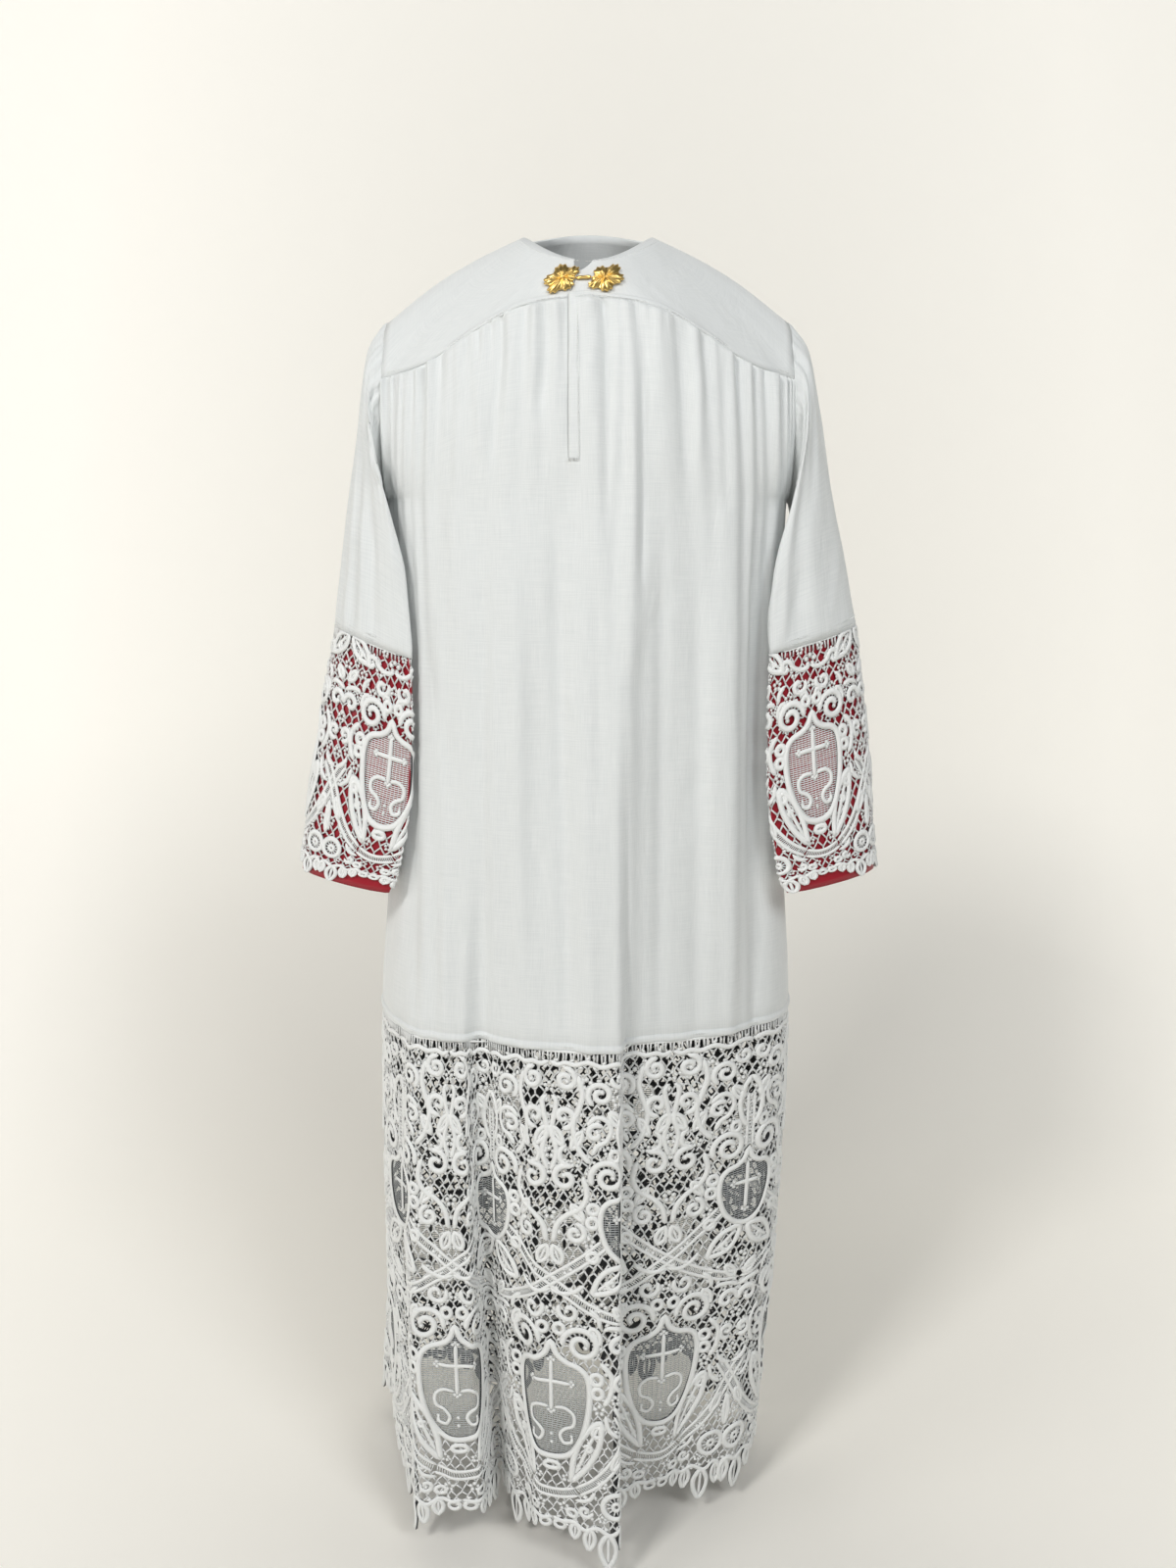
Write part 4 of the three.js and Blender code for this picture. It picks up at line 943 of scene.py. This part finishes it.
def draw_repeat(first=0, step=3.4, pitch=6.5, thick=1.0, bars=42, tapes=TAPES, seed=7):
    """One flat repeat of the lace, without what lies above first"""
    lace = Lace(thick)
    frames = [] if first else [(whole_outline(MEDALLION, REPEAT / 2), 4.4)]
    frames.append((whole_outline(CARTOUCHE, 0), 4.8))
    scrolls = SCROLLS + (CUFF_SCROLLS if first else [])
    flowers = FLOWERS + (CUFF_FLOWERS if first else [])
    shapes = []
    for outline, wide in frames:
        line = smooth_line(outline, step, closed=True)
        lace.cord(line, wide, closed=True)
        shapes.append(line)
    draw_scrolls(lace, [s for s in scrolls if s[0][1] - s[1] >= first], step)
    draw_stems(lace, [s for s in STEMS if s[0][0][1] >= first], step)
    for centre, broad, tall, wide in [loop for loop in LOOPS if loop[0][1] >= first]:
        for at in both_sides(centre):
            lace.cord(smooth_line(ring_points(at, broad, tall), 2.6, closed=True), wide, closed=True)
    draw_leaves(lace, [leaf for leaf in LEAVES if min(leaf[0][1], leaf[1][1]) >= first], step)
    spokes, rounds = wheel_spokes([w for w in WHEELS if w[0][1] - w[2] >= first])
    shapes += rounds
    for u, v, reach in [flower for flower in flowers if flower[1] - flower[2] >= first]:
        for at in both_sides((u, v)):
            lace.flower(at, reach)
            shapes.append(ring_points(at, reach * 0.8, reach * 0.8, 8))
    rungs, outlines = draw_tapes(lace, tapes)
    shapes += outlines
    lace.cord(np.array([(u, first + 0.9) for u in (-96.5, -48, 0, 48, 96.5)]), TOP_CORD)
    uprights = [[(u, first), (u + 1.2 * math.sin(2.1 * u), first + UPRIGHT_TALL)]
                for u in -REPEAT / 2 + REPEAT * (np.arange(bars) + 0.5) / bars]
    lace.bars(uprights, UPRIGHT_WIDE)
    lace.bars(spokes, SPOKE_WIDE)
    lace.bars(rungs, RUNG_WIDE)
    if not first:
        top, foot = LADDER
        lace.bars([[(88, v), (102, v)] for v in np.arange(top + 4, foot, 4.6)], UPRIGHT_WIDE)
        for u in (91, 99):
            lace.cord(smooth_line([(u, top), (u, foot)], step), 2.4)
    lace.bars(net_segments(shapes, pitch, first + 12, NET_FOOT, seed), NET_WIDE)
    return lace, frames


def draw_gauze(frames, pitch=2.9):
    """Fine weft threads across each framed panel and a few warp threads"""
    gauze = Lace()
    rng = np.random.default_rng(11)
    for outline, _ in frames:
        line = smooth_line(outline, 3, closed=True)
        ring = np.concatenate([line, line[:1]])
        for axis, gap, wide, wave in ((1, pitch, 0.44 * pitch, 0.35), (0, 5.8, 0.55, 0.5)):
            for at in np.arange(line[:, axis].min() + gap, line[:, axis].max(), gap):
                a, b = ring[:-1, axis] - at, ring[1:, axis] - at
                hits = np.nonzero(a * b < 0)[0]
                if len(hits) < 2:
                    continue
                start, end = ring[hits, 1 - axis], ring[hits + 1, 1 - axis]
                cut = np.sort(start + (end - start) * a[hits] / (a[hits] - b[hits]))
                n = max(3, int((cut[-1] - cut[0]) / 9) + 1)
                run = np.linspace(cut[0], cut[-1], n)
                off = at + wave * np.sin(run * 0.11 + rng.uniform(0, 0.8)) + rng.uniform(-0.15, 0.15)
                level = np.full(n, GAUZE_LEVEL - 0.15 * axis)
                edges = [off - wide / 2, off + wide / 2]
                points = [np.stack([run, e, level] if axis else [e, run, level], axis=1) for e in edges]
                k = np.arange(n - 1)
                gauze.add(np.concatenate(points), [np.stack([k, k + 1, k + n + 1, k + n], axis=1)])
    return gauze


def draw_crosses(frames, thick):
    """A plain cross with budded ends in each framed panel, over two scrolls in a deep one"""
    crosses = Lace(thick)
    for outline, _ in frames:
        line = smooth_line(outline, 3, closed=True)
        middle = outline[0][0]
        edge = line[:, 1].min()
        tall = line[:, 1].max() - edge
        deep = tall > 120
        from_top, to_foot, reach = CROSS_DEEP if deep else CROSS_SMALL
        top = edge + tall * from_top
        foot = edge + tall * to_foot
        arm = blend(top, foot, 0.42)
        for a, b in (((middle, top), (middle, foot)), ((middle - reach, arm), (middle + reach, arm))):
            crosses.cord(smooth_line([a, b], 4), 3.9)
            for end in (a, b):
                out = np.array(end) - (middle, arm)
                out = out / np.linalg.norm(out)
                for bud in (out * 2.6, square_to(out) * 3.2, -square_to(out) * 3.2):
                    crosses.knob(np.array(end) + bud, 1.9 * thick)
        if deep:
            for side in (-1, 1):
                line = smooth_line([(middle + side * u, v) for u, v in CROSS_SCROLL], 3.4)
                crosses.cord(line, 3.4)
                crosses.knob(line[-1], 2.6)
            for v in (488, 499):
                crosses.knob((middle, v), 2.8)
    return crosses


def lay_lace(parts, places, spots, normals, width, depth):
    """Lays flat lace on a table of points round the garment, once for each place"""
    rows, columns = spots.shape[:2]
    laid, faces, heights, start = [], [], [], 0
    for lace in parts:
        flat = np.concatenate(lace.points)
        lists = [f for group in lace.faces for f in group]
        for place in places:
            u = ((flat[:, 0] + place) % width) / width * columns
            v = np.clip(flat[:, 1] / depth * (rows - 1), 0, rows - 1.001)
            c, r = np.floor(u).astype(int), np.floor(v).astype(int)
            fu, fv = (u - c)[:, None], (v - r)[:, None]
            c, d = c % columns, (c + 1) % columns
            point, out = [blend(blend(t[r, c], t[r, d], fu), blend(t[r + 1, c], t[r + 1, d], fu), fv)
                          for t in (spots, normals)]
            laid.append(point + unit(out) * flat[:, 2:])
            heights.append(flat[:, 2])
            faces += [(f + start) for f in lists]
            start += len(flat)
    return np.concatenate(laid), faces, np.concatenate(heights)


def add_lace(name, points, faces, heights, material, slot="lace"):
    """Makes one mesh of laid lace; a face that lies deep is marked to take painted shade"""
    faces = [f for f in faces if f.shape[1] == 4] + [f for f in faces if f.shape[1] == 3]
    corners = np.concatenate([f.ravel() for f in faces])
    sizes = np.concatenate([np.full(len(f), f.shape[1]) for f in faces])
    mesh = bpy.data.meshes.new(name)
    mesh.vertices.add(len(points))
    mesh.vertices.foreach_set("co", (points * MM).astype(np.float32).ravel())
    mesh.loops.add(len(corners))
    mesh.loops.foreach_set("vertex_index", corners.astype(np.int32))
    mesh.polygons.add(len(sizes))
    mesh.polygons.foreach_set("loop_start", (np.cumsum(sizes) - sizes).astype(np.int32))
    mesh.update(calc_edges=True)
    if heights is not None:
        # The mask of painted shade: 1 on faces that lie deep, on the lace's inner side.
        deep = np.concatenate([heights[f].mean(axis=1) for f in faces])
        painted_shade = np.clip((PAINTED_SHADE_LEVEL - deep) / 0.1, 0, 1).astype(np.float32)
        mesh.attributes.new("painted_shade", "FLOAT", "FACE").data.foreach_set("value", painted_shade)
    mesh.validate()
    return add_piece(name, mesh, material)


def add_laced(name, laces, gauze, gauze_material, *table):
    """Lays corded lace and its gauze in the same places, as two pieces"""
    lace = add_lace(f"lace_{name}", *lay_lace(laces, *table), lace_thread)
    points, faces, _ = lay_lace([gauze], *table)
    return lace, add_lace(f"gauze_{name}", points, faces, None, gauze_material)


def even_turns(points_at, start, end, count):
    """Turns that share the way from start to end into equal lengths"""
    fine = np.linspace(start, end, 1441)
    run = run_length(points_at(fine))
    return np.interp(run[-1] * np.arange(count) / count, run, fine)


lace_thread, lace_tree, lace_shader = new_material(
    "lace_thread", (0.83, 0.84, 0.83), 0.82, Sheen_Weight=0.2, Sheen_Roughness=0.5)
add_bump(lace_tree, grain(lace_tree, 620, 3), 0.5, 0.0006, lace_shader)
# Painted shade: the lace's deep, inward-facing faces are mixed to near black to stand for the shade inside
# the robe; the thread there is as white as outside.
lace_shade_mask = lace_tree.nodes.new("ShaderNodeAttribute")
lace_shade_mask.attribute_name = "painted_shade"
lace_shade_mix = lace_tree.nodes.new("ShaderNodeMix")
lace_shade_mix.data_type = "RGBA"
lace_shade_mix.inputs["A"].default_value = (0.86, 0.87, 0.86, 1)
lace_shade_mix.inputs["B"].default_value = (0.04, 0.042, 0.045, 1)
lace_tree.links.new(lace_shade_mask.outputs["Fac"], lace_shade_mix.inputs["Factor"])
lace_tree.links.new(lace_shade_mix.outputs["Result"], lace_shader.inputs["Base Color"])
# Painted shade: the hem gauze is white thread, and this grey stands for the dark inside the robe seen
# through the sheer gauze.
gauze_painted_shade, _, _ = new_material("gauze_painted_shade", (0.44, 0.46, 0.465), 0.85)

LACE_GIRTH = 8 * REPEAT
LACE_REACH = 672
FRONT_THICK = 1.68
BACK_THICK = 1.9
CROSS_THICK = 1.4
front_lace, repeat_frames = draw_repeat(thick=FRONT_THICK)
back_lace, _ = draw_repeat(thick=BACK_THICK)
repeat_gauze = draw_gauze(repeat_frames)
repeat_crosses = draw_crosses(repeat_frames, CROSS_THICK)
hem_heights = LACE_SEAM - 0.3 + (HEM - LACE_SEAM) * np.linspace(0, LACE_REACH, 113) / LACE_DEEP
level = blend(LACE_SEAM, HEM, 0.7)
halves = [even_turns(lambda a: body_point(a, level), low, low + 180, 200) for low in (-90, 90)]
hem_angles = np.concatenate(halves)
hem_spots = np.stack([body_point(hem_angles, z) for z in hem_heights])
hem_table = [hem_spots, grid_normals(hem_spots, around=True), LACE_GIRTH, LACE_REACH]
quarters = [("front", "right"), ("front", "left"), ("back", "left"), ("back", "right")]
for k, (half, hand) in enumerate(quarters):
    places = [2 * k * REPEAT, (2 * k + 1) * REPEAT]
    laces = [front_lace if half == "front" else back_lace, repeat_crosses]
    lace, gauze = add_laced(f"hem_{half}_{hand}", laces, repeat_gauze, gauze_painted_shade, places, *hem_table)
    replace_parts(lace, f"hem_lace_{half}")


# Cuff lace: a narrower lace of the same make, three repeats round each wrist, and under it a
# red satin lining whose edge shows a little below the lace.
CUFF_SCALE = 0.7
CUFF_FIRST = 262
CUFF_WIDTH = REPEAT * CUFF_SCALE
CUFF_DEPTH = (LACE_REACH - CUFF_FIRST) * CUFF_SCALE
CUFF_ROWS = (5.0, 8.94)
CUFF_TURNS = {"right": -13, "left": -38}
LINING_ROWS = (CUFF_SEAM - 0.02, 8.8)
LINING_DEPTH = (3.7, 0.25, 1.9)
cuff_lace, cuff_frames = draw_repeat(
    first=CUFF_FIRST, step=4.8, pitch=8.2, thick=2.05, bars=25, tapes=TAPES[1:], seed=9)
cuff_gauze = draw_gauze(cuff_frames, pitch=3.0)
cuff_crosses = draw_crosses(cuff_frames, 1.9)
for flat in (cuff_lace, cuff_gauze, cuff_crosses):
    flat.points = [(p - (0, CUFF_FIRST, 0)) * (CUFF_SCALE, CUFF_SCALE, 0.85) for p in flat.points]

satin, satin_tree, satin_shader = new_material(
    "red_satin", (0.33, 0.004, 0.016), 0.4, Sheen_Weight=0.08, Sheen_Roughness=0.4)
add_bump(satin_tree, streaks(satin_tree, 900, 60), 0.15, 0.0004, satin_shader)

for hand, side in HANDS:
    turns = even_turns(lambda t: sleeve_point(t, 7, side), 0, 360, 160)
    spots = np.stack([sleeve_point(turns, row, side) for row in np.linspace(*CUFF_ROWS, 61)])
    places = [CUFF_TURNS[hand] + k * CUFF_WIDTH for k in range(3)]
    cuff_table = [spots, grid_normals(spots, around=True), 3 * CUFF_WIDTH, CUFF_DEPTH]
    laces = [cuff_lace, cuff_crosses]
    lace, gauze = add_laced(f"cuff_{hand}", laces, cuff_gauze, lace_thread, places, *cuff_table)
    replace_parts(lace, f"cuff_lace_front_{hand}", f"cuff_lace_back_{hand}")

    lining_turns = np.linspace(0, 360, 72, endpoint=False)
    grid = np.stack([sleeve_point(lining_turns, row, side) for row in np.linspace(*LINING_ROWS, 22)])
    normals = grid_normals(grid, around=True)
    under, swell, rate = LINING_DEPTH
    grid = grid - normals * (under + swell * np.sin(np.arange(72) * rate)[None, :, None])
    lining = add_cloth(f"satin_cuff_{hand}", grid, normals, satin, 0.9, around=True)
    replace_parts(lining, f"cuff_lining_{hand}")


# Clasp: two cast and gilded leaves with raised lobes and veins, sewn to the yoke on either side
# of the slit and joined by a small hook.
gilt, gilt_tree, gilt_shader = new_material("gilt", (0.83, 0.58, 0.20), 0.33, Metallic=1.0)
add_bump(gilt_tree, grain(gilt_tree, 500), 0.25, 0.0004, gilt_shader)
CLASP_SHARE = 0.52
CLASP_SHIFT = 8.5
CLASP_LIFT = 1.2
PLATE_THICK = 1.4
LEAF_FROM_SLIT = 21.5
LEAF_HALF = (19.5, 15.5)
LOBES = 2.75
TEETH = 22
HOOK_HALF = (7.5, 3.4)
YOKE_TALL = float(np.linalg.norm(yoke_point(1, 0, 0) - yoke_point(1, 0, 1)))


def on_yoke(across, up, lift):
    """Points over the front yoke by distance from the slit and height above the clasp's line"""
    across, up, lift = np.broadcast_arrays(across, up, lift)
    share = CLASP_SHARE - up / YOKE_TALL
    want = yoke_point(1, SLIT_ANGLE / 90 * YOKE_SEAM_SHARE, share)[..., 0] + across
    low, high = np.full(share.shape, -0.5), np.full(share.shape, 0.5)
    for _ in range(30):
        middle = (low + high) / 2
        left = yoke_point(1, middle, share)[..., 0] < want
        low, high = np.where(left, middle, low), np.where(left, high, middle)
    sideways = yoke_point(1, low + 0.01, share) - yoke_point(1, low - 0.01, share)
    down = yoke_point(1, low, share + 0.01) - yoke_point(1, low, share - 0.01)
    normal = unit(np.cross(sideways, down))
    normal = np.where(normal[..., 1:2] > 0, -normal, normal)
    return yoke_point(1, low, share) + normal * lift[..., None]


def add_plate(name, centre, outline, relief, rings, points):
    """A cast plate on the yoke: a domed front in rings, an edge and a flat back"""
    turn = 2 * np.pi * np.arange(points) / points
    across, up = outline(turn)
    work = bmesh.new()
    heights = [(r, PLATE_THICK + relief(r, turn)) for r in np.linspace(0.06, 1, rings)]
    loops = []
    for r, high in heights + [(1.0, 0 * turn), (0.06, 0 * turn)]:
        spots = on_yoke(centre + r * across, r * up, CLASP_LIFT + high) * MM
        loops.append([work.verts.new(spot) for spot in spots])
    for a, b in zip(loops[:-1], loops[1:]):
        for k in range(points):
            work.faces.new((a[k], a[(k + 1) % points], b[(k + 1) % points], b[k]))
    work.faces.new(loops[0][::-1])
    work.faces.new(loops[-1])
    bmesh.ops.recalc_face_normals(work, faces=work.faces)
    mesh = bpy.data.meshes.new(name)
    work.to_mesh(mesh)
    work.free()
    return add_piece(name, mesh, gilt)


def leaf_outline(side):
    """A five-lobed leaf whose tip points away from the slit"""
    def outline(turn):
        from_tip = np.minimum(turn, 2 * np.pi - turn)
        lobe = np.abs(np.cos(LOBES * from_tip)) ** 0.7
        teeth = 0.05 * np.cos(TEETH * from_tip)
        reach = (0.66 + 0.3 * lobe + teeth) * (1 - 0.25 * (from_tip / np.pi) ** 6)
        return side * LEAF_HALF[0] * reach * np.cos(turn), LEAF_HALF[1] * reach * np.sin(turn)
    return outline


def leaf_relief(r, turn):
    """A ridge along each lobe, deep grooves between them and small ribs"""
    from_tip = np.minimum(turn, 2 * np.pi - turn)
    lobe = np.abs(np.cos(LOBES * from_tip))
    ribs = 0.5 * np.cos(TEETH * from_tip + 5 * r) * np.sin(np.pi * min(r, 1)) * lobe
    return 1.2 * (1 - r ** 3) + 2.0 * lobe * np.sin(np.pi * r ** 0.8) - 0.9 * (1 - lobe) * r + ribs


def hook_outline(turn):
    """A bar with a slim waist"""
    waist = 0.72 + 0.28 * np.cos(2 * turn)
    return HOOK_HALF[0] * np.cos(turn), HOOK_HALF[1] * np.sin(turn) * waist


def hook_relief(r, turn):
    """A plain dome"""
    return 1.6 * (1 - r ** 2) + 0 * turn


for hand, side in HANDS:
    centre = CLASP_SHIFT + side * LEAF_FROM_SLIT
    leaf = add_plate(f"gilt_leaf_{hand}", centre, leaf_outline(side), leaf_relief, 18, 144)
    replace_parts(leaf, f"clasp_{hand}")
hook = add_plate("gilt_hook", CLASP_SHIFT, hook_outline, hook_relief, 8, 36)
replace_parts(hook, "clasp_hook")


# Topstitching: machine-sewn rows of short white cotton stitches through the cloth, along the yoke's
# neck and seams, above the lace, down the slit with its bar tack, and in two rows at each wrist.
STITCH_BOX = np.array([(0, 1, 5, 4), (1, 2, 6, 5), (2, 3, 7, 6), (3, 0, 4, 7), (3, 2, 1, 0), (4, 5, 6, 7)])
STITCH_WIDE = 0.55
STITCH_SECTION = [(-1, -0.3), (1, -0.3), (0.6, 0.35), (-0.6, 0.35)]


def add_stitches(name, lines, pitch=3.4, length=2.5):
    """Short threads along each line of points; a line comes with its outward normals"""
    points, faces = [], []
    start = 0
    for line, normals in lines:
        run = run_length(line)
        at = np.arange(1, run[-1] - length, pitch)
        ends = [along_line(line, run, at), along_line(line, run, at + length)]
        out = unit(along_line(normals, run, at))
        side = unit(np.cross(out, ends[1] - ends[0])) * STITCH_WIDE / 2
        corners = []
        for end in ends:
            for across, up in STITCH_SECTION:
                corners.append(end + side * across + out * up)
        corners = np.stack(corners, axis=1).reshape(-1, 3)
        faces.append((np.arange(len(at))[:, None, None] * 8 + STITCH_BOX[None] + start).reshape(-1, 4))
        start += len(corners)
        points.append(corners)
    return add_lace(name, np.concatenate(points), faces, None, lace_thread, slot="linen")


def surface_line(point_at, a, b, step=0.01):
    """Points and outward normals along a line of a two-way surface"""
    a, b = np.broadcast_arrays(a, b)
    points = point_at(a, b)
    across = point_at(a + step, b) - point_at(a - step, b)
    down = point_at(a, b + step) - point_at(a, b - step)
    normals = unit(np.cross(across, down))
    if np.sum(normals * (points - points.mean(axis=0) * (0.5, 0.5, 1) + (0, 0, 60))) < 0:
        normals = -normals
    return points, normals


def front_yoke(along, share):
    return yoke_point(1, along, share)


def back_yoke(along, share):
    return yoke_point(-1, along, share)


def beside_slit(angle, share):
    return chest_point(1, angle + SLIT_BEND * share, share)


yoke_lines = []
for share, reach in ((0.035, 0.99), (0.965, 0.69)):
    for low, high in ((-reach, -0.055), (-0.03, reach)):
        yoke_lines.append(surface_line(front_yoke, np.linspace(low, high, 90), share))
    yoke_lines.append(surface_line(back_yoke, np.linspace(-reach, reach, 160), share))
add_stitches("stitches_yoke", yoke_lines)
seam_height = np.full(400, LACE_SEAM + 5.0)
seam_points = body_point(np.linspace(-90, 270, 400), seam_height)
seam_normals = grid_normals(np.stack([seam_points, seam_points - (0, 0, 5)]))[0]
add_stitches("stitches_hem", [(seam_points, seam_normals)])
slit_lines = [surface_line(beside_slit, SLIT_ANGLE + 2.5, np.linspace(0.04, 0.8, 60))]
tack_turns = np.linspace(SLIT_ANGLE - 0.4, SLIT_ANGLE + 2.6, 8)
slit_lines += [surface_line(beside_slit, tack_turns, share) for share in (0.797, 0.803, 0.809)]
slit_lines = [(points + normals * 0.95, normals) for points, normals in slit_lines]
add_stitches("stitches_slit", slit_lines, pitch=2.6, length=2)
wrist_lines = []
turns = np.linspace(0, 360, 160)
for _, side in HANDS:
    for row in (CUFF_SEAM - 0.05, CUFF_SEAM - 0.12):
        points, below = sleeve_point(turns, row, side), sleeve_point(turns, row + 0.05, side)
        wrist_lines.append((points, grid_normals(np.stack([points, below]))[0]))
add_stitches("stitches_wrist", wrist_lines)


# Light, floor and backdrop: four soft lamps stand on the robe's front side, the strongest high on its
# right, in a dim even surround. Floor and wall are one sheet of pale paper that curves up behind and
# glows faintly away from the robe.
LAMPS = [
    ("key", (-2.5, -3.6, 2.9), (0, 0, -0.5), 1.1, 128, (1.0, 0.99, 0.97)),
    ("side", (-3.4, -1.7, 0.3), (0, 0, -0.7), 1.0, 22, (1.0, 0.99, 0.97)),
    ("top", (0.5, -1.9, 1.1), (0.05, 0, -0.25), 0.9, 10.5, (1.0, 0.99, 0.98)),
    ("fill", (2.5, -3.7, 2.7), (0, 0, -0.4), 1.5, 78, (0.95, 0.98, 1.0)),
]
FLOOR = -1.575
FLOOR_FRONT = -3.5
FLOOR_BACK = 0.7
BEND = 0.8
WALL_TOP = 3.0
SWEEP_HALF = 6
bpy.context.scene.view_settings.view_transform = "Standard"
for name, place, target, size, power, color in LAMPS:
    lamp = bpy.data.objects.new(name, bpy.data.lights.new(name, "AREA"))
    lamp.data.size = size
    lamp.data.energy = power
    lamp.data.color = color
    lamp.location = place
    lamp.rotation_euler = (Vector(target) - Vector(place)).to_track_quat("-Z", "Y").to_euler()
    bpy.context.collection.objects.link(lamp)

world = bpy.data.worlds.new("studio")
world.use_nodes = True
world.node_tree.nodes["Background"].inputs["Color"].default_value = (0.93, 0.95, 0.97, 1)
world.node_tree.nodes["Background"].inputs["Strength"].default_value = 0.06
bpy.context.scene.world = world

paper, paper_tree, paper_shader = new_material("paper", (0.88, 0.86, 0.81), 0.95,
                                                Emission_Color=(0.95, 0.92, 0.85, 1))
paper_place = paper_tree.nodes.new("ShaderNodeTexCoord")
paper_weigh = paper_tree.nodes.new("ShaderNodeMapping")
paper_weigh.inputs["Location"].default_value = (0, 0, 0.55)
paper_weigh.inputs["Scale"].default_value = (1, 0.25, 0.35)
paper_reach = paper_tree.nodes.new("ShaderNodeVectorMath")
paper_reach.operation = "LENGTH"
paper_glow = paper_tree.nodes.new("ShaderNodeMapRange")
for socket, value in (("From Min", 0.3), ("From Max", 1.35), ("To Min", 0.0), ("To Max", 0.27)):
    paper_glow.inputs[socket].default_value = value
paper_tree.links.new(paper_place.outputs["Object"], paper_weigh.inputs["Vector"])
paper_tree.links.new(paper_weigh.outputs[0], paper_reach.inputs[0])
paper_tree.links.new(paper_reach.outputs["Value"], paper_glow.inputs["Value"])
paper_tree.links.new(paper_glow.outputs[0], paper_shader.inputs["Emission Strength"])
turns = np.linspace(0.1, math.pi / 2, 14)
profile = [(FLOOR_FRONT, FLOOR), (FLOOR_BACK, FLOOR)]
profile += [(FLOOR_BACK + BEND * math.sin(a), FLOOR + BEND - BEND * math.cos(a)) for a in turns]
profile += [(FLOOR_BACK + BEND, WALL_TOP)]
work = bmesh.new()
rails = [[work.verts.new((x, y, z)) for y, z in profile] for x in (-SWEEP_HALF, SWEEP_HALF)]
for k in range(len(profile) - 1):
    work.faces.new((rails[0][k], rails[1][k], rails[1][k + 1], rails[0][k + 1]))
sweep_mesh = bpy.data.meshes.new("sweep")
work.to_mesh(sweep_mesh)
work.free()
sweep_mesh.polygons.foreach_set("use_smooth", [True] * len(sweep_mesh.polygons))
sweep_mesh.materials.append(paper)
sweep = bpy.data.objects.new("sweep", sweep_mesh)
bpy.context.collection.objects.link(sweep)
